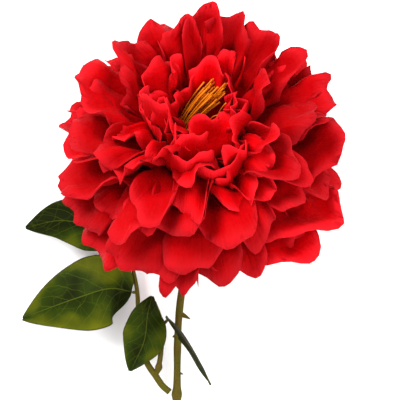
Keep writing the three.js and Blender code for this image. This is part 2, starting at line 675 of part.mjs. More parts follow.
// Leaflets: the midrib's line, the blade's half width, how it leans about its midrib, how far its halves
// fold up, and the wave of its margins. A larger full number carries its breadth towards the tip.
const LEAVES = {
  leaflet_left: {
    line: [[-38.2, -122.5, 10.5], [-51, -120, 19], [-70, -125.5, 17], [-103, -138, 4]],
    half: 21, full: 0.72, lean: 6, fold: -10, wave: 1.6, seed: 3,
  },
  leaflet_far: {
    line: [[-45, -93.6, 11.4], [-60, -85, 16], [-80, -81.5, 13], [-101, -86, 5]],
    half: 15, full: 0.72, lean: -5, fold: -8, wave: 1.2, seed: 5,
  },
  leaflet_low: {
    line: [[-27, -123.5, 22.5], [-29.5, -134, 26], [-31.5, -149, 24], [-40, -168, 13.5]],
    half: 13.5, full: 1.1, lean: -8, fold: -20, wave: 0.8, seed: 7,
  },
  leaflet_slim: {
    line: [[-18.4, -136.4, 20], [-11, -143, 30], [-3, -155.5, 30], [6.5, -175.5, 13]],
    half: 9, full: 0.72, lean: 78, fold: 14, wave: 0.4, seed: 9,
  },
};

// Half width of a blade along its length: round at the base and drawn to a point, fuller towards the tip
// for a larger second number.
function bladeShare(v, full) {
  return Math.sin(Math.PI * v ** full) ** 0.8 * (1 - 0.25 * v) * 1.12;
}

function leafPoint(leaf, line, v, u) {
  const middle = line.getPoint(v);
  const ahead = line.getTangent(v);
  const flat = new THREE.Vector3(-ahead.y, ahead.x, 0).normalize();
  const side = flat.applyAxisAngle(ahead, radians(leaf.lean));
  const up = new THREE.Vector3().crossVectors(ahead, side).normalize();
  const half = leaf.half * bladeShare(v, leaf.full);
  const raised = radians(leaf.fold) * Math.abs(u);
  const wave = leaf.wave * Math.abs(u) ** 2 * Math.sin(3 * Math.PI * v + leaf.seed + 2 * u);
  return middle
    .addScaledVector(side, half * u * Math.cos(raised))
    .addScaledVector(up, half * Math.abs(u) * Math.sin(raised) + wave);
}

function leaflet(leaf) {
  const line = smoothLine(leaf.line);
  const grid = Array.from({ length: LEAF_CELLS_ALONG + 1 }, (_, i) =>
    Array.from({ length: LEAF_CELLS_ACROSS + 1 }, (_, j) =>
      leafPoint(leaf, line, 0.015 + (0.97 * i) / LEAF_CELLS_ALONG, (2 * j) / LEAF_CELLS_ACROSS - 1),
    ),
  );
  return geometryOf(sheetSolid(grid, LEAF_THICK, FIT_GAP));
}

const RED = new THREE.MeshStandardMaterial({ color: 0xe0101e, roughness: 0.65, metalness: 0 });
const YELLOW = new THREE.MeshStandardMaterial({ color: 0xd98d10, roughness: 0.7, metalness: 0 });
const LEAF_GREEN = new THREE.MeshStandardMaterial({ color: 0x3b4f16, roughness: 0.45, metalness: 0 });
const STEM_GREEN = new THREE.MeshStandardMaterial({ color: 0x68661c, roughness: 0.6, metalness: 0 });

function piece(name, geometry, material) {
  const mesh = new THREE.Mesh(geometry, material);
  mesh.name = name;
  return mesh;
}

const peony = new THREE.Group();
peony.name = "peony";
peony.add(piece("petals", petals(), RED));
peony.add(piece("stamens", stamens(), YELLOW));
peony.add(piece("calyx", calyx(), STEM_GREEN));
peony.add(piece("stem", stem(), STEM_GREEN));
peony.add(piece("leaf_stalk", stalk(), STEM_GREEN));
for (const [name, leaf] of Object.entries(LEAVES)) peony.add(piece(name, leaflet(leaf), LEAF_GREEN));

export default peony;
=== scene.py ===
"""A double red peony lying on a pale surface: petals, stamens, calyx, stem, side stalk, leaflets and stage.

The script is laid out as an add-on. Every piece is a surface worked out with numpy, in the frame of the
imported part: metres, +Z up, the bloom's face looking up and towards +Y and the stem running along -Y.
Lengths inside the shape functions are millimetres, as in the part, and place() turns them into metres.
"""

import math

import bpy
import numpy as np
from bpy.props import FloatProperty, FloatVectorProperty, IntProperty, PointerProperty
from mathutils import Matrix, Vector


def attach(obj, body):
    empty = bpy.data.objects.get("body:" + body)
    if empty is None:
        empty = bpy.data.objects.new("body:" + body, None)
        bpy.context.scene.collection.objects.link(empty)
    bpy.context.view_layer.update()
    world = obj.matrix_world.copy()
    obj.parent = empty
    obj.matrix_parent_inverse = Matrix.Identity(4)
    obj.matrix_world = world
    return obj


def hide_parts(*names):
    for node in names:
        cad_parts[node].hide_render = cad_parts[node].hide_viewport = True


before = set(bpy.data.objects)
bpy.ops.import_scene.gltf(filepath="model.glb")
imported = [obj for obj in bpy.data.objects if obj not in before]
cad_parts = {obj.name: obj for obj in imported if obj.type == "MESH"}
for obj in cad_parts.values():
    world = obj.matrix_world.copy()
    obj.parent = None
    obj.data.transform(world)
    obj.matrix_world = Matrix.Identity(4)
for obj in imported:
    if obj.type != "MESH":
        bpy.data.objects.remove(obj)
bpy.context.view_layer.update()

bl_info = {
    "name": "Double Peony",
    "version": (1, 0, 0),
    "blender": (4, 5, 0),
    "location": "View3D > Sidebar > Peony",
    "description": "Builds a double red peony with its cut stem and leaves, and a pale stage",
    "category": "Add Mesh",
}

MM = 0.001

# The bloom's frame: a middle, an axis that leans towards +Y, and two directions square to it.
BLOOM_MIDDLE = np.array([0.0, -45.0, 55.0])
BLOOM_TILT = math.radians(38)
BASE_TO_MIDDLE = 22.0
AXIS = np.array([0.0, math.sin(BLOOM_TILT), math.cos(BLOOM_TILT)])
RIGHT = np.array([1.0, 0.0, 0.0])
FAR = np.array([0.0, math.cos(BLOOM_TILT), -math.sin(BLOOM_TILT)])
BLOOM_BASE = BLOOM_MIDDLE - BASE_TO_MIDDLE * AXIS
CORE_LENGTH = 31.0
CORE_RADIUS = 7.5
# The core's outline: radius, and height above the bloom's base.
CORE_OUTLINE = [
    (0.8 * CORE_RADIUS, 0),
    (CORE_RADIUS, 5),
    (CORE_RADIUS, CORE_LENGTH - 8),
    (0.8 * CORE_RADIUS, CORE_LENGTH),
]
ROUND_SIDES = 24
FIT_GAP = 0.3


def draw(number):
    """A repeatable draw from 0 to 1: the fraction of a large multiple of the number's sine."""
    wide = math.sin(number * 12.9898 + 4.1414) * 43758.5453
    return wide - math.floor(wide)


def jitter(number, size):
    """The same draw, spread from -size to size."""
    return (2 * draw(number) - 1) * size


def smooth(low, high, value):
    """A soft step from 0 at low to 1 at high: three times the square less twice the cube."""
    share = np.clip((value - low) / (high - low), 0, 1)
    return share * share * (3 - 2 * share)


# A tone is partly a random draw and partly painted light: the high tones of the heart, of the petals beside
# it and of the guard are painted light, which lifts them out of the bloom's shade.
# A petal's values, where it differs from the rule below. around and open are the angles at which it
# stands, and face is where it looks. root and root_radius say where it leaves the core. head is the length
# of its round head as a share of its width, bend how far its midrib turns, cup and head_cup half the arc
# across its claw and its head. ruffle and waves are the size and count of its ruffles, pleat and pleats
# those of its pleats. roll, spoon, fold and frill are the sizes of those forms, and notch is the depth of
# its notch. yaw and twist turn it about its midrib, sweep shifts its tip to one side, floor is the height
# that it keeps above the surface, clear the degrees about its tip that stay free, and tone how bright it is.
#
# Petals that close round the heart, and the wide ones of the guard.
# Their high tones are painted light, which brightens them out of the bloom's shade.
SHIELD = dict(
    around=-62, open=8, face=(-72, 28), clear=27, head=0.8, bend=-88, cup=58, head_cup=66, yaw=0, twist=0,
    root=10, root_radius=7, ruffle=2.6, waves=2.0, roll=-2.5, notch=0.12, spoon=0, frill=1.0, pleat=1.8,
    pleats=5, tone=4.8,
)
SHIELD_RIGHT = dict(
    around=-14, open=24, clear=8, bend=-50, cup=50, head_cup=60, yaw=8, twist=6, root=14, root_radius=6.5,
    ruffle=1.2, roll=-3, spoon=0, frill=0.6, tone=4.4,
)
SHIELD_LEFT = dict(
    around=-165, open=27, clear=12, head=0.7, bend=-62, cup=50, head_cup=50, yaw=0, twist=0, root=12,
    root_radius=6.5, ruffle=1.2, roll=-5, spoon=0, frill=0.5, tone=4.4,
)
GUARD = dict(
    bend=10, cup=14, head_cup=4, ruffle=1.6, roll=-2, spoon=3, frill=1.3, pleat=0.8, pleats=15, tone=2.6,
)
# Smooth petals that lean in beside the heart, painted bright by their high tone as painted light.
LEANING = dict(yaw=0, twist=0, spoon=2, tone=4.0)
# Rounded petals of the left side, which lie calm.
CALM = dict(ruffle=0.8, twist=0, yaw=2, notch=0.01, spoon=9, roll=-6)
# Petals of the far side, folded along into channels.
CHANNEL = dict(cup=62, head_cup=58, twist=0, yaw=0, roll=-7, spoon=9, pleat=2.4, pleats=6.5)
# Petals of the near hem, which turn their broad heads down, and the slim lowest one.
HEM = dict(head=0.38, cup=24, head_cup=14, ruffle=1.4, roll=-4, twist=0, yaw=3, notch=0.02, spoon=6)
HEM_SLIM = dict(HEM, fold=2, ruffle=0.4, notch=0.06, pleat=0.6, frill=0.3, head_cup=30)
# A guard petal that lies pressed flat on the surface, and those beside it, a little above.
PRESSED = dict(
    bend=6, cup=8, head_cup=2, ruffle=0.4, roll=0, yaw=0, twist=0, sweep=0, fold=0, notch=0.03, spoon=0,
    frill=0.2, pleat=0.1, floor=0,
)
BESIDE_PRESSED = dict(PRESSED, floor=0.25)

# Petals with places of their own: how far the tip lies to the right of the bloom's middle and above it,
# seen from above, then its reach from the middle, the petal's width, and what differs from the rule.
PLACED = [
    # Heart.
    (6.5, 24, 50, 36, SHIELD),
    (6.5, 26, 52, 28, SHIELD_RIGHT),
    (6.5, 26, 51, 34, SHIELD_LEFT),
    (-16, 33, 48, 22, dict(cup=40, head_cup=50, bend=-10)),
    (-6.5, 44.5, 52, 22, dict(head_cup=30)),
    (3, 54, 62, 24, dict(CHANNEL, spoon=14)),
    (27, 34, 54, 22, dict(cup=45, head_cup=40, yaw=0, twist=0)),
    (31, 25, 56, 20, dict(head_cup=40, roll=-4)),
    (36, 17.5, 60, 26, dict(head_cup=40, roll=4, twist=25)),
    # This petal's high tone is painted light, as for the heart.
    (-8.5, -12, 62, 22, dict(bend=10, cup=50, head_cup=60, roll=5, tone=4.0)),
    (-11.5, -23.5, 66, 30, dict(bend=15, cup=40, head_cup=50, roll=5)),
    (13.5, -23.5, 66, 34, dict(bend=15, cup=30, head_cup=20, roll=5, ruffle=3)),
    (30.5, -18.5, 66, 28, dict(bend=15, cup=40, head_cup=40, roll=5, ruffle=3)),
    (48, -2.5, 72, 26, dict(cup=60, head_cup=90, roll=3, ruffle=2)),
    (47, -18.5, 76, 30, dict(cup=40, head_cup=20, roll=3)),
    # Near side, first tier.
    (-2, -21, 68, 28, {}),
    (25, -31, 66, 34, dict(ruffle=3)),
    (38, -30, 68, 28, {}),
    (-21, 8, 60, 28, {}),
    (-40, 14, 66, 26, dict(head_cup=45, roll=3)),
    (-53.5, -5, 74, 32, {}),
    (-28, -9, 68, 22, {}),
    # Near side, second tier.
    (-27, -41, 78, 38, {}),
    (-44, -44.5, 82, 36, dict(cup=40, head_cup=40)),
    (-67.5, -27, 84, 40, {}),
    (-13, -47.5, 78, 40, {}),
    (14.5, -51.5, 78, 42, {}),
    (35.5, -48, 78, 34, dict(ruffle=3)),
    # Near side, hem.
    (-1.5, -63, 82, 34, HEM),
    (-30, -68, 86, 42, HEM),
    (-11.5, -76, 89, 22, HEM_SLIM),
    (4.5, -69, 79, 34, HEM),
    (25, -65, 79, 34, HEM),
    (-55, -58, 84, 32, HEM),
    (-65, -41, 82, 30, HEM),
    # Right side.
    (72, -35.5, 89, 54, GUARD),
    (53, -58.5, 88, 44, GUARD),
    (77.5, 2.5, 86, 50, dict(bend=10, cup=20, head_cup=10)),
    (64, 19.5, 82, 30, {}),
    (72.5, 33, 88, 24, dict(cup=40, head_cup=50, spoon=4, twist=0)),
    (68, 41, 82, 22, {}),
    # Far side.
    (52, 57.5, 84, 34, dict(notch=0.2)),
    (37, 70, 85, 28, CHANNEL),
    (20.5, 75.5, 84, 28, CHANNEL),
    (2, 80, 85, 26, dict(CHANNEL, roll=-3)),
    (-16, 73, 82, 26, CHANNEL),
    (-29, 70, 80, 28, CHANNEL),
    (-45, 60, 81, 32, dict(CALM, head_cup=60, spoon=12)),
    (-65.5, 45.5, 84, 36, dict(head_cup=24, ruffle=0.9, twist=0, notch=0)),
    (33.5, 59, 70, 24, dict(head_cup=30)),
    (44.5, 40.5, 74, 22, dict(head_cup=50)),
    (-32, 47.5, 68, 26, {}),
    (-46.5, 46, 76, 28, {}),
    (-17, 56, 66, 24, {}),
    (19.5, 58.5, 66, 24, {}),
    # Left side.
    (-70, 6, 80, 40, CALM),
    (-65, 29, 80, 32, CALM),
    # Between the heart's shields and the left side.
    (-17, 26, 55, 32, dict(LEANING, bend=-30, cup=48, head_cup=34, roll=-5, ruffle=0.8)),
    (-8, 6, 56, 20, dict(LEANING, bend=-25, cup=40, head_cup=50, roll=-4)),
]
FIRST_PLACED_SEED = 101
# Within these degrees of a placed petal's tip the rings leave a petal out.
PLACED_CLEAR = 7.5
# Petals under the bloom, on which it lies: angle around the axis, open, reach and width.
UNDER = [
    (85, 106, 92, 50, PRESSED),
    (47, 106, 88, 46, BESIDE_PRESSED),
    (124, 106, 88, 46, BESIDE_PRESSED),
]
FIRST_UNDER_SEED = 180
# Rings that fill the dome all round: how far open, reach, count, width and seed.
RINGS = [
    (26, 48, 6, 20, 480),
    (34, 55, 10, 23, 300),
    (44, 61, 16, 23, 330),
    (54, 67, 18, 25, 350),
    (66, 72, 20, 28, 360),
    (79, 74, 19, 31, 390),
    (93, 74, 15, 36, 420),
    (106, 73, 11, 42, 450),
]
# The tuft of stamens bows to the left from its disc, leans towards the far right and spreads to its tip.
DISC_RADIUS = 5.5
DISC_THICK = 1.6
TUFT_KNEE = np.array([-17.0, -33.0, 70.0])
TUFT_TIP = np.array([8.5, -7.0, 87.0])
TUFT_SPREADS = [4.3, 5.0, 7.0]
# Threads are thin bars, thicker past the part of their length that the two shares bound.
THREAD_RADIUS = 0.3
THREAD_SIDES = 5
TIP_SWELL = 0.17
TIP_START = (0.86, 0.95)
GOLDEN_TURN = math.pi * (3 - math.sqrt(5))
# Stray threads beside the tuft: root, knee and tip.
STRAYS = [
    [(-2, -42, 60), (-9, -43, 74), (-7.5, -34, 81)],
    [(-1, -43, 60), (-8, -42, 75), (-4.5, -32, 80)],
    [(-3, -42, 60), (-10, -40, 74), (-6.5, -31.5, 79)],
    [(-3, -41, 60), (-9, -39, 72), (-8.5, -32, 80)],
    [(3, -38, 61), (3, -22, 92), (12.5, -25, 88)],
    [(3, -39, 61), (5, -23, 90), (15, -27, 86)],
    [(4, -38, 61), (9, -22, 82), (14, -18, 88)],
]
# A petal's rows start at the first share, and its claw is as narrow as at the second, from where the
# rows grow closer by the power.
CLAW_START = 0.03
CLAW_SHARE = 0.12
ROW_POWER = 0.75
OUTLINE_TURN = math.radians(128)
# A petal's root: its distance from the axis, and its height there, which falls as the petal opens.
ROOT_RADIUS = 3.0
ROOT_TOP = 28
ROOT_DROP = 26
ROOT_DROP_OPEN = 105
ROOT_LOWEST = 1.0
# The rule's tables: degrees open from the axis, or the reach, and the values there. A petal counts as
# near where the sine of its angle towards the near side is above this share.
NEAR_SHARE = 0.2
BEND_BY_OPEN = ([0, 20, 35, 60, 90, 120], [-50, -20, 5, 30, 35, 30])
NEAR_BEND_BY_OPEN = ([0, 25, 40, 60, 90, 120], [0, 0, 10, 40, 50, 30])
ROLL_BY_OPEN = ([60, 92], [-9, -3])
CALM_BY_OPEN = ([62, 90], [1.0, 0.4])
# Painted light: petals of less than the first reach, deep in the bloom, are painted brighter, and those
# longer than the second a little darker.
PAINTED_LIGHT_BY_REACH = ([66, 77], [3.2, -0.8])
BEND_POWER = 1.6
# Where a petal's forms lie: shares along it, or from side to side.
NOTCH_SIDE = 0.35
NOTCH_WIDTH = 0.1
CUP_CHANGE = (0.25, 0.85)
ROLL_FROM = 0.7
SPOON_FROM = 0.5
FOLD_WIDTH = 0.28
# Lobes of the rim: their size, their count and the number of their draw.
LOBES = ((0.035, 5, 33), (0.02, 10, 34), (0.009, 19, 35))
# How deep a petal is crumpled, but for those pressed nearer to the surface than the second height.
CRUMPLE = 2.3
PRESSED_BELOW = 0.3
# Half the thickness of the part's blades, which keep this far above the surface with their middle.
HALF_BLADE = 0.4


def outward_at(around):
    """Unit vector away from the bloom's axis, at an angle around it from the right."""
    return math.cos(around) * RIGHT + math.sin(around) * FAR


def direction(around, open_angle):
    """Unit vector from the bloom's middle: an angle open from the axis, and an angle around it."""
    return math.cos(open_angle) * AXIS + math.sin(open_angle) * outward_at(around)


def petal_of(around, open_angle, reach, width, seed, own):
    """A petal's sizes by the rule, in millimetres and degrees, with its own values in place of the rule's.

    Inner petals stand, curl in and are painted the brightest, as painted light against the shade deep in
    the bloom. Outer ones spread and bend back, their forms grow calmer, and those on the near side bend
    most.
    """
    if "open" in own:
        around, open_angle = math.radians(own["around"]), math.radians(own["open"])
    degrees_open = math.degrees(open_angle)
    near = max(0.0, -math.sin(around))
    is_near = near > NEAR_SHARE
    bend = np.interp(degrees_open, *BEND_BY_OPEN) + near * np.interp(degrees_open, *NEAR_BEND_BY_OPEN)
    calm = np.interp(degrees_open, *CALM_BY_OPEN)
    # Each draw adds a number of its own to the petal's seed.
    petal = dict(
        root=max(ROOT_LOWEST, ROOT_TOP - ROOT_DROP * degrees_open / ROOT_DROP_OPEN),
        root_radius=ROOT_RADIUS,
        head=0.55,
        bend=bend + jitter(seed + 11, 14),
        cup=(50 if is_near else 62) + jitter(seed + 12, 10),
        head_cup=(70 if is_near else 74) + jitter(seed + 13, 26),
        ruffle=calm * (2.7 + jitter(seed + 14, 1.0)),
        waves=2.0 + jitter(seed + 15, 0.6),
        roll=np.interp(degrees_open, *ROLL_BY_OPEN) + jitter(seed + 16, 2.5),
        yaw=9 + jitter(seed + 17, 8),
        twist=calm * jitter(seed + 18, 14),
        sweep=jitter(seed + 19, 4),
        fold=jitter(seed + 20, 1.2),
        notch=max(0.0, 0.14 * draw(seed + 21) - 0.06),
        floor=0.4 + draw(seed + 22),
        spoon=calm * (17 + jitter(seed + 23, 5)),
        frill=calm * (1.1 + jitter(seed + 24, 0.5)),
        pleat=1.5 + jitter(seed + 25, 0.6),
        pleats=8.5,
        # The tone is a random draw plus painted light by the reach.
        tone=jitter(seed + 50, 1.0) + np.interp(reach, *PAINTED_LIGHT_BY_REACH),
        clear=PLACED_CLEAR,
    )
    petal.update(own)
    petal.update(around=around, open=open_angle, reach=reach, width=width, seed=seed)
    return petal


def placed_petals():
    """Petals whose tips have places of their own, worked out from what is seen from above."""
    made = []
    for i, (right, up, reach, width, own) in enumerate(PLACED):
        to_tip = np.array([right, up, math.sqrt(max(0.0, reach**2 - right**2 - up**2))])
        to_tip /= np.linalg.norm(to_tip)
        around = math.atan2(to_tip @ FAR, to_tip @ RIGHT)
        open_angle = math.acos(np.clip(to_tip @ AXIS, -1, 1))
        made.append(petal_of(around, open_angle, reach, width, FIRST_PLACED_SEED + i, own))
    for i, (around, open_angle, reach, width, own) in enumerate(UNDER):
        angles = math.radians(around), math.radians(open_angle)
        made.append(petal_of(*angles, reach, width, FIRST_UNDER_SEED + i, own))
    return made


def ring_petals(placed):
    """Petals in rings about the axis, left out where a placed petal already has its tip."""
    taken = []
    for petal in placed:
        face = petal.get("face")
        angles = [math.radians(a) for a in face] if face else (petal["around"], petal["open"])
        taken.append((direction(*angles), math.cos(math.radians(petal["clear"]))))
    made = []
    for degrees_open, reach, count, width, seed in RINGS:
        for i in range(count):
            own = seed + i * 1.37
            around = 2 * math.pi * (i + draw(seed) + jitter(own, 0.22)) / count
            open_angle = math.radians(degrees_open + jitter(own + 5, 5))
            tip = direction(around, open_angle)
            if any(tip @ way > nearest for way, nearest in taken):
                continue
            size = reach + jitter(own + 6, 3), width + jitter(own + 7, 4)
            made.append(petal_of(around, open_angle, *size, own + 50, {}))
    return made


def midrib(petal, steps=48):
    """Midrib in the plane through the axis: a line whose angle grows with a power of the share along it.

    Gives its length, and at even steps the share, the height, the distance from the axis and the angle.
    """
    rise = BASE_TO_MIDDLE + petal["reach"] * math.cos(petal["open"]) - petal["root"]
    run = petal["reach"] * math.sin(petal["open"]) - petal["root_radius"]
    bend = math.radians(petal["bend"])
    half = bend / 2 if abs(bend) > 1e-3 else 5e-4
    length = math.hypot(rise, run) * half / math.sin(half)
    share = np.linspace(0, 1, steps + 1)
    angle = math.atan2(run, rise) + bend * (share**BEND_POWER - 1 / (BEND_POWER + 1))
    step = length / steps

    def summed(values):
        """The running sum of the means of neighbouring values, times the step."""
        return np.concatenate([[0], np.cumsum((values[1:] + values[:-1]) / 2)]) * step

    height = petal["root"] + summed(np.cos(angle))
    out = petal["root_radius"] + summed(np.sin(angle))
    return length, share, height, out, angle


def petal_outline(petal, length, s, t, phase):
    """The flat petal, for s from claw to rim and t from side to side: x across it and y along it.

    It is a fan of rays from a narrow claw to a round rim. Sines make soft lobes in the rim, and a steep
    bell cuts a notch into it.
    """
    notch = (t - jitter(petal["seed"] + 31, NOTCH_SIDE)) / NOTCH_WIDTH
    lobes = -petal["notch"] * np.exp(-(np.abs(notch) ** 1.5))
    for size, count, number in LOBES:
        lobes = lobes + size * np.sin(count * t + phase[number])
    turn = OUTLINE_TURN * t
    head = petal["head"] * petal["width"]
    x = np.maximum(s, CLAW_SHARE) * (1 + lobes * s) * 0.5 * petal["width"] * np.sin(turn)
    y = s * (1 + lobes * s) * (length - head + head * np.cos(turn))
    return x + petal["sweep"] * s**2, y


def cupped(petal, x, share):
    """A point x across the petal set onto an arc, which opens from claw to head by a soft step.

    Gives its place to the side of the midrib, and its lift off it.
    """
    cup = np.radians(petal["cup"] + (petal["head_cup"] - petal["cup"]) * smooth(*CUP_CHANGE, share))
    cup = np.where(np.abs(cup) < 1e-3, 1e-3, cup)
    arc = 0.5 * petal["width"] / cup
    return arc * np.sin(x / arc), arc * (1 - np.cos(x / arc))


def lifted(petal, lift, share, s, t, phase):
    """The lift off the midrib with the petal's forms added, each of the size that the petal gives.

    Broad and fine ruffles are sines from side to side that grow with the square of s. The rim rolls by
    the square of the share past its start, and the head is spooned in the same way. A fold is a bell
    about the midrib. Pleats are sines that run along the blade, and a frill is a quick sine at the rim,
    where it grows with the seventh power of s.
    """
    wave = petal["waves"] * math.pi * t
    lift = lift + petal["ruffle"] * s**2 * (np.sin(wave + phase[1]) + 0.5 * np.sin(2.3 * wave + phase[2]))
    lift = lift + petal["roll"] * np.clip((s - ROLL_FROM) / (1 - ROLL_FROM), 0, 1) ** 2
    lift = lift - petal["fold"] * s * np.exp(-((t / FOLD_WIDTH) ** 2))
    pleats = np.sin(petal["pleats"] * t + phase[39] + 0.8 * np.sin(3 * s))
    lift = lift + petal["pleat"] * np.clip(s, 0, 0.9) * pleats
    lift = lift + petal["spoon"] * np.clip((share - SPOON_FROM) / (1 - SPOON_FROM), 0, 1.4) ** 2
    return lift + petal["frill"] * s**7 * np.sin(12 * t + phase[37] + 2 * np.sin(4 * t + phase[38]))


def crumple(petal, x, y, s, phase):
    """Small soft dents, as in pressed silk: two crossed products of sines along and across the blade.

    The numbers that divide x and y are the dents' lengths in millimetres.
    """
    broad = np.sin(x / 4.6 + phase[3] + 0.9 * np.sin(y / 6 + phase[4])) * np.sin(y / 5.4 + phase[5])
    fine = np.sin((x + y) / 4.2 + phase[6]) * np.sin((x - y) / 6.1 + phase[7])
    size = 0.0 if petal["floor"] < PRESSED_BELOW else CRUMPLE
    return size * np.clip(3 * s, 0, 1) * (1.3 * broad + 0.5 * fine)


def petal_surface(petal, s, t):
    """Middle surface of a petal, for s from claw to rim and t from side to side.

    The flat outline is cupped, lifted by the petal's forms and crumpled about its midrib, which stands at
    its angle around the bloom's axis. The petal is turned about its midrib by a yaw, and by a twist that
    grows with s. Where it would sink below its floor it lies on it.
    """
    length, shares, heights, outs, angles = midrib(petal)
    phase = [2 * math.pi * draw(petal["seed"] + k) for k in range(40)]
    x, y = petal_outline(petal, length, s, t, phase)
    share = np.clip(y / length, 0, 1.2)
    side, lift = cupped(petal, x, share)
    lift = lifted(petal, lift, share, s, t, phase) + crumple(petal, x, y, s, phase)
    over = np.maximum(share - 1, 0) * length
    angle = np.interp(share, shares, angles)
    height = np.interp(share, shares, heights) + over * np.cos(angle)
    out = np.interp(share, shares, outs) + over * np.sin(angle)
    turn = np.radians(petal["yaw"] + petal["twist"] * s)
    across = side * np.cos(turn) - lift * np.sin(turn)
    inward = side * np.sin(turn) + lift * np.cos(turn)
    outward = outward_at(petal["around"])
    points = BLOOM_BASE + (height + np.sin(angle) * inward)[..., None] * AXIS
    points = points + (out - np.cos(angle) * inward)[..., None] * outward
    points = points + across[..., None] * np.cross(AXIS, outward)
    points[..., 2] = np.maximum(points[..., 2], petal["floor"] + HALF_BLADE)
    return points


def centripetal(points, steps):
    """A smooth line through the points at even steps along it: Catmull-Rom with root-distance knots."""
    points = np.asarray(points, float)
    before, after = 2 * points[0] - points[1], 2 * points[-1] - points[-2]
    knots = np.vstack([before, points, after])
    fine = []
    for k in range(1, len(knots) - 2):
        p0, p1, p2, p3 = knots[k - 1 : k + 3]
        t1 = np.linalg.norm(p1 - p0) ** 0.5
        t2 = t1 + np.linalg.norm(p2 - p1) ** 0.5
        t3 = t2 + np.linalg.norm(p3 - p2) ** 0.5
        t = np.linspace(t1, t2, 24, endpoint=False)[:, None]
        a1 = (t1 - t) / t1 * p0 + t / t1 * p1
        a2 = (t2 - t) / (t2 - t1) * p1 + (t - t1) / (t2 - t1) * p2
        a3 = (t3 - t) / (t3 - t2) * p2 + (t - t2) / (t3 - t2) * p3
        b1 = (t2 - t) / t2 * a1 + t / t2 * a2
        b2 = (t3 - t) / (t3 - t1) * a2 + (t - t1) / (t3 - t1) * a3
        fine.append((t2 - t) / (t2 - t1) * b1 + (t - t1) / (t2 - t1) * b2)
    fine = np.vstack([*fine, points[-1:]])
    along = np.concatenate([[0], np.cumsum(np.linalg.norm(np.diff(fine, axis=0), axis=1))])
    even = np.linspace(0, along[-1], steps + 1)
    return np.stack([np.interp(even, along, fine[:, k]) for k in range(3)], axis=1)


def unit(vectors):
    """Vectors of length 1 along the given ones."""
    return vectors / np.maximum(np.linalg.norm(vectors, axis=-1, keepdims=True), 1e-12)


# A direction along which no bar starts.
ASLANT = [0.3, 0.2, 1.0]


def carried(line, radii, sides, relief=None):
    """A round bar: circles of the given radii carried along the line without twist.

    relief, if given, is a factor on the radius for each step and side.
    """
    steps = len(line)
    ahead = unit(np.gradient(line, axis=0))
    side = np.cross(ahead[0], ASLANT)
    sides_along = []
    for way in ahead:
        side = unit(side - (side @ way) * way)
        sides_along.append(side)
    across = np.array(sides_along)
    other = np.cross(ahead, across)
    turn = np.linspace(0, 2 * math.pi, sides, endpoint=False)
    radius = np.broadcast_to(np.asarray(radii)[:, None], (steps, sides))
    radius = radius * (1 if relief is None else relief(np.linspace(0, 1, steps)[:, None], turn[None, :]))
    ring = np.cos(turn)[None, :, None] * across[:, None] + np.sin(turn)[None, :, None] * other[:, None]
    return line[:, None] + radius[..., None] * ring


class Shell:
    """Closed surfaces collected for one mesh, with a place and a tone for each of their corners."""

    def __init__(self):
        self.corners, self.faces, self.places, self.count = [], [], [], 0

    def add(self, corners, faces, places):
        """One more surface: its corners, its faces by their corners' numbers, and each corner's place."""
        self.corners.append(corners)
        self.faces.extend((np.asarray(face) + self.count).tolist() for face in faces)
        self.places.append(places)
        self.count += len(corners)

    def blade(self, grid, thick, place):
        """A thin closed blade: the grid moved half its thickness to both sides, and joined at its rim."""
        rows, columns = grid.shape[:2]
        normal = unit(np.cross(np.gradient(grid, axis=1), np.gradient(grid, axis=0)))
        faces_of = [grid + 0.5 * thick * normal, grid - 0.5 * thick * normal]
        corners = np.concatenate([f.reshape(-1, 3) for f in faces_of])
        index = np.arange(rows * columns).reshape(rows, columns)
        quads = np.stack([index[:-1, :-1], index[:-1, 1:], index[1:, 1:], index[1:, :-1]], -1).reshape(-1, 4)
        loop = np.concatenate([index[0, :-1], index[:-1, -1], index[-1, :0:-1], index[:0:-1, 0]])
        ahead = np.roll(loop, -1)
        below = rows * columns
        rim = np.stack([ahead, loop, loop + below, ahead + below], axis=1)
        faces = [*quads, *(quads[:, ::-1] + below), *rim]
        self.add(corners, faces, np.concatenate([place.reshape(-1, 3)] * 2))

    def bar(self, rings, tone=0.0):
        """A closed bar from its rings of corners, with a point at the middle of each end."""
        steps, sides = rings.shape[:2]
        ends = np.stack([rings[0].mean(axis=0), rings[-1].mean(axis=0)])
        corners = np.concatenate([rings.reshape(-1, 3), ends])
        index = np.arange(steps * sides).reshape(steps, sides)
        after = np.roll(index, -1, axis=1)
        walls = np.stack([index[:-1], after[:-1], after[1:], index[1:]], -1).reshape(-1, 4)
        first, last = steps * sides, steps * sides + 1
        caps = [(first, b, a) for a, b in zip(index[0], after[0])]
        caps += [(last, a, b) for a, b in zip(index[-1], after[-1])]
        share = np.repeat(np.linspace(0, 1, steps), sides)
        turn = np.tile(np.linspace(0, 1, sides, endpoint=False), steps)
        places = np.stack([share, turn, np.full_like(share, tone)], axis=1)
        places = np.concatenate([places, [[0, 0, tone], [1, 0, tone]]])
        self.add(corners, [*walls, *caps], places)

    def place(self, name, material, node):
        """The collected surfaces as one object in metres, in the place of a node of the part."""
        mesh = bpy.data.meshes.new(name)
        mesh.from_pydata((np.concatenate(self.corners) * MM).tolist(), [], self.faces)
        mesh.polygons.foreach_set("use_smooth", [True] * len(mesh.polygons))
        attribute = mesh.attributes.new("place", "FLOAT_VECTOR", "POINT")
        attribute.data.foreach_set("vector", np.concatenate(self.places).astype(np.float32).ravel())
        mesh.materials.append(material)
        mesh.update()
        piece = bpy.data.objects.new(name, mesh)
        bpy.context.scene.collection.objects.link(piece)
        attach(piece, "root")
        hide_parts(node)


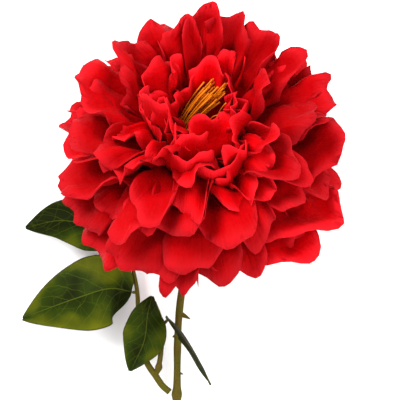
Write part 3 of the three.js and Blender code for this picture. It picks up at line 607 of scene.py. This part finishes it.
class Finish:
    """A material in the making: its main shader, and a short method for each kind of node."""

    def __init__(self, name, roughness, specular=0.5):
        self.material = bpy.data.materials.new(name)
        self.material.use_nodes = True
        self.nodes = self.material.node_tree.nodes
        self.links = self.material.node_tree.links
        self.inputs = self.nodes["Principled BSDF"].inputs
        self.inputs["Roughness"].default_value = roughness
        self.inputs["Specular IOR Level"].default_value = specular

    def feed(self, socket, value):
        """What a socket gets: a number, a colour or the output of another node."""
        if isinstance(value, (int, float)):
            socket.default_value = value
        elif isinstance(value, tuple):
            socket.default_value = (*value, 1)
        else:
            self.links.new(value, socket)

    def colour(self, value):
        """The shader's base colour."""
        self.feed(self.inputs["Base Color"], value)

    def place(self):
        """The piece's own place attribute, split in three numbers."""
        attribute = self.nodes.new("ShaderNodeAttribute")
        attribute.attribute_name = "place"
        split = self.nodes.new("ShaderNodeSeparateXYZ")
        self.links.new(attribute.outputs["Vector"], split.inputs[0])
        return split.outputs

    def on_piece(self):
        """The piece's own coordinates."""
        return self.nodes.new("ShaderNodeTexCoord").outputs["Object"]

    def math(self, operation, *values):
        """One arithmetic node on its values."""
        node = self.nodes.new("ShaderNodeMath")
        node.operation = operation
        for socket, value in zip(node.inputs, values):
            self.feed(socket, value)
        return node.outputs[0]

    def vector(self, *values):
        """Three numbers as one vector."""
        node = self.nodes.new("ShaderNodeCombineXYZ")
        for socket, value in zip(node.inputs, values):
            self.feed(socket, value)
        return node.outputs[0]

    def ramp(self, factor, *stops):
        """Colours at their places between 0 and 1, read at the factor."""
        node = self.nodes.new("ShaderNodeValToRGB")
        elements = node.color_ramp.elements
        while len(elements) < len(stops):
            elements.new(1.0)
        for element, (at, colour) in zip(elements, stops):
            element.position = at
            element.color = (*colour, 1)
        self.links.new(factor, node.inputs["Fac"])
        return node.outputs["Color"]

    def mix(self, factor, first, second, way="MIX"):
        """Two colours mixed by a factor."""
        node = self.nodes.new("ShaderNodeMix")
        node.data_type = "RGBA"
        node.blend_type = way
        for socket, value in zip((node.inputs[0], *node.inputs[6:8]), (factor, first, second)):
            self.feed(socket, value)
        return node.outputs[2]

    def noise(self, scale, detail, vector=None):
        """Soft noise on the piece's own coordinates, or on the given vector."""
        node = self.nodes.new("ShaderNodeTexNoise")
        node.inputs["Scale"].default_value = scale
        node.inputs["Detail"].default_value = detail
        self.links.new(self.on_piece() if vector is None else vector, node.inputs["Vector"])
        return node.outputs["Fac"]

    def cell_rims(self, scale, width):
        """1 on the rims between irregular cells and 0 inside them."""
        node = self.nodes.new("ShaderNodeTexVoronoi")
        node.feature = "DISTANCE_TO_EDGE"
        node.inputs["Scale"].default_value = scale
        self.links.new(self.on_piece(), node.inputs["Vector"])
        return self.math("LESS_THAN", node.outputs["Distance"], width)

    def bump(self, height, strength, distance):
        """Relief on the shader from a height."""
        node = self.nodes.new("ShaderNodeBump")
        node.inputs["Strength"].default_value = strength
        node.inputs["Distance"].default_value = distance
        self.links.new(height, node.inputs["Height"])
        self.links.new(node.outputs["Normal"], self.inputs["Normal"])


def petal_silk(deep, red, rim):
    """Soft red silk: deep at the claw, brighter and pinker at the rim as a painted highlight, with fine
    wrinkles that run along the petal.

    The colour is mottled and goes up with the petal's tone, which is partly random and partly painted light.
    The relief adds long streaks, creases of some millimetres and a fine weave.
    """
    silk = Finish("petal silk", 0.6, specular=0.03)
    silk.inputs["Sheen Weight"].default_value = 0.03
    silk.inputs["Sheen Roughness"].default_value = 0.45
    silk.inputs["Sheen Tint"].default_value = (1.0, 0.25, 0.28, 1)
    s, t, tone = silk.place()
    # The last stop is a painted highlight: the rim is painted a brighter, pinker red, as where curled rims
    # catch the light.
    colour = silk.ramp(s, (0.15, deep), (0.55, red), (0.9, red), (1.0, rim))
    mottle = silk.math("MULTIPLY_ADD", silk.noise(45, 2), 0.3, 0.82)
    # The tone raises the colour: a random draw, and painted light that brightens the inner petals.
    shade = silk.math("MULTIPLY_ADD", tone, 0.12, mottle)
    silk.colour(silk.mix(1.0, colour, silk.vector(shade, shade, shade), "MULTIPLY"))
    across, along, apart = (silk.math("MULTIPLY", *pair) for pair in ((t, 26.0), (s, 3.0), (tone, 37.0)))
    streaks = silk.noise(1.0, 3, silk.vector(across, along, apart))
    creased = silk.math("MULTIPLY_ADD", silk.noise(130, 2), 1.6, streaks)
    weave = silk.math("MULTIPLY_ADD", silk.noise(900, 1), 0.06, creased)
    silk.bump(weave, 0.5, 0.0016)
    return silk.material


def thread_yellow(colour):
    """Matt orange-yellow threads, a little darker at the foot."""
    thread = Finish("stamen thread", 0.6, specular=0.1)
    s, _, tone = thread.place()
    dark = tuple(0.55 * c for c in colour)
    shade = thread.math("MULTIPLY_ADD", tone, 0.35, s)
    thread.colour(thread.ramp(shade, (0.0, dark), (0.6, colour), (1.0, colour)))
    return thread.material


def stem_green(name, green, brown):
    """Moulded olive green bark with browner stretches, nine long faint ribs and small specks."""
    bark = Finish(name, 0.5, specular=0.06)
    _, turn, _ = bark.place()
    colour = bark.ramp(bark.noise(70, 3), (0.35, green), (0.62, brown))
    speck = bark.noise(800, 1)
    specks = bark.ramp(speck, (0.3, (0.75, 0.75, 0.75)), (0.6, (1.0, 1.0, 1.0)))
    bark.colour(bark.mix(1.0, colour, specks, "MULTIPLY"))
    ribs = bark.math("SINE", bark.math("MULTIPLY", turn, 2 * math.pi * 9))
    bark.bump(bark.math("MULTIPLY_ADD", ribs, 0.25, speck), 0.4, 0.0003)
    return bark.material


def leaf_green(dark, middle, bright, vein, margin):
    """Printed satin leaf: dark green with bright patches, branching pale veins and a thin brown margin.

    The place attribute holds the share along the blade, the place across it from -1 to 1, and a tone.
    Patches come from noise and grow brighter towards the margin.
    """
    leaf = Finish("leaf", 0.5, specular=0.02)
    s, t, tone = leaf.place()
    wide = leaf.math("ABSOLUTE", t)
    patch = leaf.math("ADD", leaf.noise(38, 2), leaf.math("MULTIPLY", wide, 0.22))
    colour = leaf.ramp(leaf.math("ADD", patch, tone), (0.47, dark), (0.64, middle), (0.9, bright))
    veins = leaf_veins(leaf, s, wide, tone)
    colour = leaf.mix(leaf.math("MULTIPLY", veins, 0.45), colour, vein)
    leaf.colour(leaf.mix(leaf.math("GREATER_THAN", wide, 0.975), colour, margin))
    leaf.bump(leaf.math("MULTIPLY_ADD", veins, -0.6, leaf.noise(1400, 1)), 0.3, 0.0004)
    return leaf.material


def leaf_veins(leaf, s, wide, tone):
    """1 on the veins: a midrib, side veins that slant towards the tip, and the cells of a faint net."""
    slant = leaf.math("MULTIPLY_ADD", wide, -0.34, s)
    slant = leaf.math("MULTIPLY_ADD", leaf.noise(90, 2), 0.09, slant)
    row = leaf.math("MULTIPLY_ADD", slant, 6.5, tone)
    side = leaf.math("LESS_THAN", leaf.math("PINGPONG", row, 0.5), 0.015)
    rib = leaf.math("LESS_THAN", wide, 0.015)
    net = leaf.math("MULTIPLY", leaf.cell_rims(120, 0.02), 0.25)
    return leaf.math("MAXIMUM", leaf.math("MAXIMUM", side, rib), net)


# Calyx, stem, side stalk and leaflets, as in the part. The calyx cup's outline: radius, and depth below
# its top.
CALYX_HEIGHT = 6.0
CALYX_RADIUS = 7.0
CALYX_CUP = [(3.1, CALYX_HEIGHT), (4.6, 4.5), (6.2, 2.8), (CALYX_RADIUS, 1.4), (0.9 * CALYX_RADIUS, 0)]
SEPAL_COUNT = 5
SEPAL_OPEN = math.radians(112)
SEPAL_LENGTH = 20
SEPAL_WIDTH = 15
SEPAL_THICK = 0.7
SEPAL_ROOT_RADIUS = 3
SEPAL_ROOT_DEPTH = 3.6
STEM_RADIUS = 2.1
NODE_POINT = (-13.2, -181, 10.5)
NECK_DROP = 2 * FIT_GAP + CALYX_HEIGHT
STEM_LINE = [
    BLOOM_BASE - NECK_DROP * AXIS,
    BLOOM_BASE - (NECK_DROP + 5) * AXIS,
    (-2, -75, 21),
    (-6.3, -97, 17.5),
    (-11.2, -128, 15),
    (-12.8, -150, 13.5),
    NODE_POINT,
    (-15, -215, 7),
    (-19, -250, 3.8),
    (-23, -274, 2.4),
]
STEM_RADII = [3.2, 2.7, 2.4, 2.1, 2.1, 2.1, 2.3, 2.3, 2.4, 2.4]
# The node is swollen by this much over about this length.
NODE_SWELL = 0.9
NODE_LENGTH = 3.2
# Spurs: the place, the way it points, its length and its width. All bend towards the cut end.
SPUR_BEND = np.array([0, -0.54, 0])
SPURS = [
    ((-11.1, -134.8, 14.6), (0.92, -0.38, 0.1), 4.0, 3.4),
    ((-13.1, -168.5, 11.6), (1, -0.1, 0.1), 1.6, 2.4),
    ((-12.8, -147.5, 13.7), (-1, 0.05, 0.1), 0.9, 3.4),
    ((-16, -222, 6.3), (-0.9, -0.2, 0.4), 2.4, 2.8),
]
FORK = (-25.6, -170, 11)
STALK_LINE = [
    (-17.4, -179.6, 10.6),
    (-21.5, -176, 10.8),
    FORK,
    (-30.3, -163, 10),
    (-34, -149, 9),
    (-35.3, -135, 8.5),
    (-36.2, -121, 8.5),
    (-39.5, -106, 9),
    (-45, -93.9, 11),
]
STALK_RADII = [1.9, 1.9, 1.8, 1.5, 1.4, 1.3, 1.2, 1.1, 1.0]
ARM_LINE = [FORK, (-23.8, -165.5, 12.2), (-21.8, -151, 15), (-22.6, -137, 18.3), (-26, -127.5, 20.7)]
ARM_RADII = [1.6, 1.5, 1.3, 1.2, 1.1]
KNUCKLE_LINE = [(-24.6, -168, 11.6), (-23.6, -165.3, 12.3), (-23.2, -162.5, 12.8)]
FOOT_LINE = [(-36, -123, 8.5), (-37.2, -122.7, 9.5), (-38.4, -122.5, 10.7)]
TWIG_LINE = [(-22.2, -141.5, 17.2), (-20, -139.6, 17.8), (-18.4, -137.8, 18.8)]
# The stalk's bars: line, radii and steps along it.
STALK_BARS = [
    (STALK_LINE, STALK_RADII, 90),
    (ARM_LINE, ARM_RADII, 50),
    (KNUCKLE_LINE, [1.5, 2.2, 1.4], 12),
    (TWIG_LINE, [0.9, 0.9, 0.8], 12),
    (FOOT_LINE, [0.9, 0.85, 0.8], 8),
]
LEAF_THICK = 0.5
# The share of a leaf's length that is left off at its base and at its tip.
LEAF_START = 0.015
# The power of the sine that gives a leaf's half width, how much narrower it grows towards its tip, and
# what makes up for that at its widest place.
LEAF_POWER = 0.8
LEAF_TAPER = 0.25
LEAF_WIDER = 1.12
# Leaflets: the midrib's line, the blade's half width, full, which puts the widest place nearer to the base
# when it is below 1, how the blade leans about its midrib, how far its halves fold up, the wave of its
# margins, a seed and a tone.
LEAVES = {
    "leaflet_left": dict(
        line=[(-38.2, -122.5, 10.5), (-51, -120, 19), (-70, -125.5, 17), (-103, -138, 4)],
        half=21.0, full=0.72, lean=6, fold=-10, wave=1.6, seed=3, tone=0.06,
    ),
    "leaflet_far": dict(
        line=[(-45, -93.6, 11.4), (-60, -85, 16), (-80, -81.5, 13), (-101, -86, 5)],
        half=15.0, full=0.72, lean=-5, fold=-8, wave=1.2, seed=5, tone=-0.08,
    ),
    "leaflet_low": dict(
        line=[(-27, -123.5, 22.5), (-29.5, -134, 26), (-31.5, -149, 24), (-40, -168, 13.5)],
        half=13.5, full=1.1, lean=-8, fold=-20, wave=0.8, seed=7, tone=-0.04,
    ),
    "leaflet_slim": dict(
        line=[(-18.4, -136.4, 20), (-11, -143, 30), (-3, -155.5, 30), (6.5, -175.5, 13)],
        half=9.0, full=0.72, lean=78, fold=14, wave=0.4, seed=9, tone=-0.1,
    ),
}


def leaf_surface(leaf, v, u):
    """A leaflet's middle surface, for v from base to tip and u across it from -1 to 1.

    The blade lies across the line of its midrib, leaned about it. Its half width is a power of a sine,
    less towards the tip, so it is round at the base and drawn to a point. Both halves fold by the same
    angle. A wave that grows with the square of u lifts the margins, and a finer one with u.
    """
    steps = v.shape[0]
    line = centripetal(leaf["line"], 200)
    shares = np.linspace(0, 1, 201)
    middle = np.stack([np.interp(v[:, 0], shares, line[:, k]) for k in range(3)], axis=1)
    slope = np.gradient(line, axis=0)
    ahead = unit(np.stack([np.interp(v[:, 0], shares, slope[:, k]) for k in range(3)], axis=1))
    flat = unit(np.stack([-ahead[:, 1], ahead[:, 0], np.zeros(steps)], axis=1))
    lean = math.radians(leaf["lean"])
    side = flat * math.cos(lean) + np.cross(ahead, flat) * math.sin(lean)
    up = unit(np.cross(ahead, side))
    half = leaf["half"] * np.sin(math.pi * v ** leaf["full"]) ** LEAF_POWER
    half = half * (1 - LEAF_TAPER * v) * LEAF_WIDER
    fold = math.radians(leaf["fold"])
    wave = leaf["wave"] * u**2 * np.sin(3 * math.pi * v + leaf["seed"] + 2 * u)
    wave = wave + 0.35 * np.sin(9 * v + 3 * u + leaf["seed"]) * np.abs(u)
    points = middle[:, None] + (half * u * math.cos(fold))[..., None] * side[:, None]
    points = points + (half * np.abs(u) * math.sin(fold) + wave)[..., None] * up[:, None]
    points[..., 2] = np.maximum(points[..., 2], FIT_GAP + HALF_BLADE)
    return points


def turned(profile, sides):
    """Rings of a body turned about the bloom's axis, from radii and heights above the bloom's base."""
    turn = np.linspace(0, 2 * math.pi, sides, endpoint=False)
    outward = np.cos(turn)[:, None] * RIGHT + np.sin(turn)[:, None] * FAR
    rings = [BLOOM_BASE + height * AXIS + radius * outward for radius, height in profile]
    return np.array(rings)


def bezier(share, root, knee, tip):
    """A quadratic Bezier curve: squares of the two shares for its ends, twice their product for its knee."""
    return (1 - share) ** 2 * root + 2 * share * (1 - share) * knee + share**2 * tip


def tuft_line(share, around, ring, long):
    """A line of the tuft: a quadratic Bezier curve from the disc by the knee to a tip.

    Each of its three points is offset by a share of the spread there, at an angle around the tuft, and
    the tip is drawn back to a share of the whole length.
    """
    foot = BLOOM_BASE + (CORE_LENGTH + FIT_GAP + DISC_THICK / 2) * AXIS
    other = unit(np.cross(unit(TUFT_TIP - foot), RIGHT))
    points = [foot, TUFT_KNEE, foot + long * (TUFT_TIP - foot)]
    offsets = [math.cos(around) * RIGHT + math.sin(around) * way for way in (FAR, other, other)]
    root, knee, tip = (p + spread * ring * off for p, spread, off in zip(points, TUFT_SPREADS, offsets))
    return bezier(share[:, None], root, knee, tip)


def thread_rings(line, share):
    """A stamen thread: a thin bar along the line, a little thicker past a soft step near its tip."""
    return carried(line, THREAD_RADIUS + TIP_SWELL * smooth(*TIP_START, share), THREAD_SIDES)


def sepal_surface(around, s, t):
    """A sepal's middle surface, for s from its root to its tip and t from side to side.

    It runs straight out at its opening angle. Its half width is a part of half a sine wave along it. The
    square of t draws its tip back and lifts its sides.
    """
    outward = outward_at(around)
    half = SEPAL_WIDTH / 2 * np.sin(math.pi * (0.14 + 0.76 * s))
    along = SEPAL_LENGTH * s * (1 - 0.12 * t**2 * s)
    out = SEPAL_ROOT_RADIUS + along * math.sin(SEPAL_OPEN)
    height = along * math.cos(SEPAL_OPEN) + 2.2 * t**2 * s
    points = BLOOM_BASE - SEPAL_ROOT_DEPTH * AXIS + out[..., None] * outward
    points = points + height[..., None] * AXIS
    return points + (half * t)[..., None] * np.cross(AXIS, outward)


def stem_rings():
    """The stem: a bar along its line, swollen by a bell at its node, with a slow wave and five ribs."""
    line = centripetal(STEM_LINE, 180)
    share = np.linspace(0, 1, len(line))
    radii = np.interp(share, np.linspace(0, 1, len(STEM_RADII)), STEM_RADII)
    to_node = np.linalg.norm(line - np.array(NODE_POINT), axis=1)
    radii = radii + NODE_SWELL * np.exp(-((to_node / NODE_LENGTH) ** 2)) + 0.12 * np.sin(share * 60)
    return carried(line, radii, 20, lambda s, turn: 1 + 0.03 * np.sin(5 * turn + 30 * s))


def spur_rings(place, way, length, width):
    """A thorn-like spur: its radius falls with a power of the share, and its spine bends by the square."""
    reach = np.linspace(0, 1, 8)
    spine = np.array(place) + (reach * (length + STEM_RADIUS))[:, None] * unit(np.array(way, float))
    spine = spine + (reach**2)[:, None] * SPUR_BEND
    return carried(spine, width / 2 * (1 - reach) ** 0.8 + 0.12, 10)


def colour_property(name, description, default):
    """A colour that a user would change."""
    return FloatVectorProperty(name=name, description=description, subtype="COLOR", default=default)


def length_property(name, description, default, least):
    """A length in metres that a user would change."""
    return FloatProperty(name=name, description=description, default=default, min=least, unit="LENGTH")


class PeonyPetalSettings(bpy.types.PropertyGroup):
    """Thickness, fineness and reds of the petals"""

    thickness: length_property("Thickness", "How thick each petal is", 0.00045, 0.0001)
    rows: IntProperty(name="Rows", description="Rows of faces from claw to rim", default=13, min=4)
    columns: IntProperty(name="Columns", description="Columns of faces across a petal", default=24, min=4)
    deep: colour_property("Claw colour", "Red at the claw", (0.40, 0.0, 0.001))
    red: colour_property("Petal colour", "Red of the blade", (0.372, 0.0001, 0.0014))
    # The rim colour is a painted highlight: a brighter, pinker red than the blade's.
    rim: colour_property("Rim colour", "Red at the rim", (0.44, 0.0055, 0.010))


class PeonyStamenSettings(bpy.types.PropertyGroup):
    """Count and colour of the threads"""

    count: IntProperty(name="Threads", description="How many threads the tuft has", default=64, min=1)
    colour: colour_property("Colour", "Orange yellow of the threads", (0.55, 0.15, 0.002))


class PeonyGreenSettings(bpy.types.PropertyGroup):
    """Greens and browns of the calyx, the stem, the side stalk and the leaflets"""

    green: colour_property("Stem green", "Olive green of stem and stalks", (0.07, 0.064, 0.0035))
    brown: colour_property("Stem brown", "Browner stretches", (0.08, 0.052, 0.006))
    dark: colour_property("Leaf dark", "Darkest leaf green", (0.006, 0.009, 0.0010))
    middle: colour_property("Leaf green", "Main leaf green", (0.017, 0.029, 0.0018))
    bright: colour_property("Leaf bright", "Yellow-green patches", (0.095, 0.10, 0.003))
    vein: colour_property("Vein", "Pale veins", (0.085, 0.11, 0.008))
    margin: colour_property("Margin", "Thin brown margin", (0.03, 0.02, 0.005))


class PeonyStageSettings(bpy.types.PropertyGroup):
    """Floor and camera"""

    floor: length_property("Floor size", "Side of the floor", 4.0, 1.0)
    floor_colour: colour_property("Floor colour", "Pale floor", (0.93, 0.93, 0.93))
    camera_height: length_property("Camera height", "Camera above the bloom's middle", 1.1, 0.3)
    view_width: length_property("Width seen", "Width seen at the bloom's middle", 0.22, 0.05)


class PEONY_OT_petals(bpy.types.Operator):
    """Petals: placed ones, the pressed ones under the bloom and rings between them, on a plain core"""

    bl_idname = "peony.petals"
    bl_label = "Petals"

    def execute(self, context):
        settings = context.scene.peony_petals
        placed = placed_petals()
        rows = np.linspace(0, 1, settings.rows) ** ROW_POWER
        along = np.concatenate([[CLAW_START], CLAW_SHARE + (1 - CLAW_SHARE) * rows])
        s, t = np.meshgrid(along, np.linspace(-1, 1, settings.columns + 1), indexing="ij")
        shell = Shell()
        for petal in [*placed, *ring_petals(placed)]:
            place = np.stack([s, t, np.full_like(s, petal["tone"])], axis=-1)
            shell.blade(petal_surface(petal, s, t), settings.thickness / MM, place)
        shell.bar(turned(CORE_OUTLINE, ROUND_SIDES))
        material = petal_silk(tuple(settings.deep), tuple(settings.red), tuple(settings.rim))
        shell.place("petals_fine", material, "petals")
        return {"FINISHED"}


class PEONY_OT_stamens(bpy.types.Operator):
    """Stamens: a disc on the core, a tuft of fine threads that spread, and a few stray ones beside it"""

    bl_idname = "peony.stamens"
    bl_label = "Stamens"

    def execute(self, context):
        settings = context.scene.peony_stamens
        foot = CORE_LENGTH + FIT_GAP
        shell = Shell()
        shell.bar(turned([(DISC_RADIUS, foot), (DISC_RADIUS, foot + DISC_THICK)], ROUND_SIDES))
        share = np.linspace(0, 1, 12)
        for i in range(settings.count):
            ring = math.sqrt((i + 0.5) / settings.count)
            line = tuft_line(share, i * GOLDEN_TURN, ring, 0.7 + 0.3 * draw(i + 600))
            wander = 0.45 * np.sin(math.pi * share) * np.sin(9 * share + i)
            line = line + wander[:, None] * np.array([math.cos(i), math.sin(i), 0])
            shell.bar(thread_rings(line, share), jitter(i + 640, 1.0))
        for i, points in enumerate(STRAYS):
            line = bezier(share[:, None], *np.array(points, float))
            shell.bar(thread_rings(line, share), jitter(i + 700, 1.0))
        shell.place("stamens_fine", thread_yellow(tuple(settings.colour)), "stamens")
        return {"FINISHED"}


class PEONY_OT_calyx(bpy.types.Operator):
    """Calyx: a cup that narrows to the stem, and rounded sepals that spread under the lowest petals"""

    bl_idname = "peony.calyx"
    bl_label = "Calyx"

    def execute(self, context):
        settings = context.scene.peony_greens
        shell = Shell()
        shell.bar(turned([(radius, -FIT_GAP - depth) for radius, depth in CALYX_CUP], ROUND_SIDES))
        s, t = np.meshgrid(np.linspace(0.05, 1, 14), np.linspace(-1, 1, 13), indexing="ij")
        for k in range(SEPAL_COUNT):
            around = 2 * math.pi * (k + 0.3) / SEPAL_COUNT
            place = np.stack([s, t, np.full_like(s, jitter(k, 1.0))], axis=-1)
            shell.blade(sepal_surface(around, s, t), SEPAL_THICK, place)
        material = stem_green("calyx green", tuple(settings.green), tuple(settings.brown))
        shell.place("calyx_fine", material, "calyx")
        return {"FINISHED"}


class PEONY_OT_stem(bpy.types.Operator):
    """Stem: a bent bar with a swollen node where the side stalk leaves, and small thorn-like spurs"""

    bl_idname = "peony.stem"
    bl_label = "Stem"

    def execute(self, context):
        settings = context.scene.peony_greens
        shell = Shell()
        shell.bar(stem_rings())
        for spur in SPURS:
            shell.bar(spur_rings(*spur), 0.2)
        material = stem_green("stem bark", tuple(settings.green), tuple(settings.brown))
        shell.place("stem_fine", material, "stem")
        return {"FINISHED"}


class PEONY_OT_leaf_stalk(bpy.types.Operator):
    """Side stalk: it leaves the node, forks, and its arms carry the leaflets"""

    bl_idname = "peony.leaf_stalk"
    bl_label = "Leaf stalk"

    def execute(self, context):
        settings = context.scene.peony_greens
        shell = Shell()
        for points, radii, steps in STALK_BARS:
            share = np.linspace(0, 1, steps + 1)
            thick = np.interp(share, np.linspace(0, 1, len(radii)), radii)
            shell.bar(carried(centripetal(points, steps), thick, 14), 0.1)
        material = stem_green("stalk bark", tuple(settings.brown), tuple(settings.green))
        shell.place("leaf_stalk_fine", material, "leaf_stalk")
        return {"FINISHED"}


class PEONY_OT_leaflets(bpy.types.Operator):
    """Leaflets: waved blades with printed veins and patches"""

    bl_idname = "peony.leaflets"
    bl_label = "Leaflets"

    def execute(self, context):
        settings = context.scene.peony_greens
        names = ("dark", "middle", "bright", "vein", "margin")
        material = leaf_green(*(tuple(getattr(settings, name)) for name in names))
        along = LEAF_START + (1 - 2 * LEAF_START) * np.linspace(0, 1, 61)
        v, u = np.meshgrid(along, np.linspace(-1, 1, 41), indexing="ij")
        for name, leaf in LEAVES.items():
            shell = Shell()
            place = np.stack([v, u, np.full_like(v, leaf["tone"])], axis=-1)
            shell.blade(leaf_surface(leaf, v, u), LEAF_THICK, place)
            shell.place(name + "_fine", material, name)
        return {"FINISHED"}


# Stage: the picture's middle lies this far nearer than the bloom's middle, in millimetres. A lamp has its
# place and size in metres and its power in watts, and points at the target.
VIEW_NEARER = 24.75
SENSOR_WIDTH = 36
ROOM_LIGHT = 1.5
LAMPS = {"window": ((-0.45, 0.45, 0.75), 0.5, 11.0), "fill": ((0.7, -0.3, 0.8), 0.8, 7.0)}
LAMP_TARGET = (0, -0.07, 0.05)


class PEONY_OT_stage(bpy.types.Operator):
    """Stage: a pale floor, soft light from the upper left, and a camera that looks straight down"""

    bl_idname = "peony.stage"
    bl_label = "Stage"

    def execute(self, context):
        settings = context.scene.peony_stage
        scene = context.scene
        scene.collection.objects.link(self.floor(settings))
        scene.world = self.room()
        for name, lamp in LAMPS.items():
            scene.collection.objects.link(self.lamp(name, *lamp))
        scene.view_settings.view_transform = "Standard"
        scene.camera = self.camera(settings)
        scene.collection.objects.link(scene.camera)
        return {"FINISHED"}

    def floor(self, settings):
        """A square floor at height 0, matt and pale."""
        half = settings.floor / 2
        corners = [(-half, -half, 0), (half, -half, 0), (half, half, 0), (-half, half, 0)]
        mesh = bpy.data.meshes.new("floor")
        mesh.from_pydata(corners, [], [(0, 1, 2, 3)])
        finish = Finish("pale floor", 0.8)
        finish.colour(tuple(settings.floor_colour))
        mesh.materials.append(finish.material)
        floor = bpy.data.objects.new("floor", mesh)
        return floor

    def room(self):
        """Even white light from all round."""
        world = bpy.data.worlds.new("soft room")
        world.use_nodes = True
        background = world.node_tree.nodes["Background"]
        background.inputs["Color"].default_value = (1, 1, 1, 1)
        background.inputs["Strength"].default_value = ROOM_LIGHT
        return world

    def lamp(self, name, place, size, power):
        """A square area light that points at the target."""
        data = bpy.data.lights.new(name, "AREA")
        data.size = size
        data.energy = power
        lamp = bpy.data.objects.new(name, data)
        lamp.location = place
        lamp.rotation_euler = (Vector(LAMP_TARGET) - Vector(place)).to_track_quat("-Z", "Y").to_euler()
        return lamp

    def camera(self, settings):
        """A camera above the picture's middle that looks straight down."""
        lens = bpy.data.cameras.new("camera")
        lens.sensor_width = SENSOR_WIDTH
        lens.lens = SENSOR_WIDTH * settings.camera_height / settings.view_width
        camera = bpy.data.objects.new("camera", lens)
        across, up = (BLOOM_MIDDLE[1] - VIEW_NEARER) * MM, BLOOM_MIDDLE[2] * MM
        camera.location = (0, across, up + settings.camera_height)
        return camera


class PEONY_PT_panel(bpy.types.Panel):
    """A button for each piece and for the stage"""

    bl_idname = "PEONY_PT_panel"
    bl_label = "Peony"
    bl_space_type = "VIEW_3D"
    bl_region_type = "UI"
    bl_category = "Peony"

    def draw(self, context):
        for operator in OPERATORS:
            self.layout.operator(operator.bl_idname)


OPERATORS = (
    PEONY_OT_petals,
    PEONY_OT_stamens,
    PEONY_OT_calyx,
    PEONY_OT_stem,
    PEONY_OT_leaf_stalk,
    PEONY_OT_leaflets,
    PEONY_OT_stage,
)
SETTINGS = {
    "peony_petals": PeonyPetalSettings,
    "peony_stamens": PeonyStamenSettings,
    "peony_greens": PeonyGreenSettings,
    "peony_stage": PeonyStageSettings,
}


def register():
    """Adds the settings, the operators and the panel."""
    for name, group in SETTINGS.items():
        bpy.utils.register_class(group)
        setattr(bpy.types.Scene, name, PointerProperty(type=group))
    for operator in OPERATORS:
        bpy.utils.register_class(operator)
    bpy.utils.register_class(PEONY_PT_panel)


def unregister():
    """Takes away what register adds, in the other order."""
    bpy.utils.unregister_class(PEONY_PT_panel)
    for operator in reversed(OPERATORS):
        bpy.utils.unregister_class(operator)
    for name, group in SETTINGS.items():
        delattr(bpy.types.Scene, name)
        bpy.utils.unregister_class(group)


def main():
    """Builds all pieces and the stage."""
    register()
    bpy.ops.peony.petals()
    bpy.ops.peony.stamens()
    bpy.ops.peony.calyx()
    bpy.ops.peony.stem()
    bpy.ops.peony.leaf_stalk()
    bpy.ops.peony.leaflets()
    bpy.ops.peony.stage()


if __name__ == "__main__":
    main()
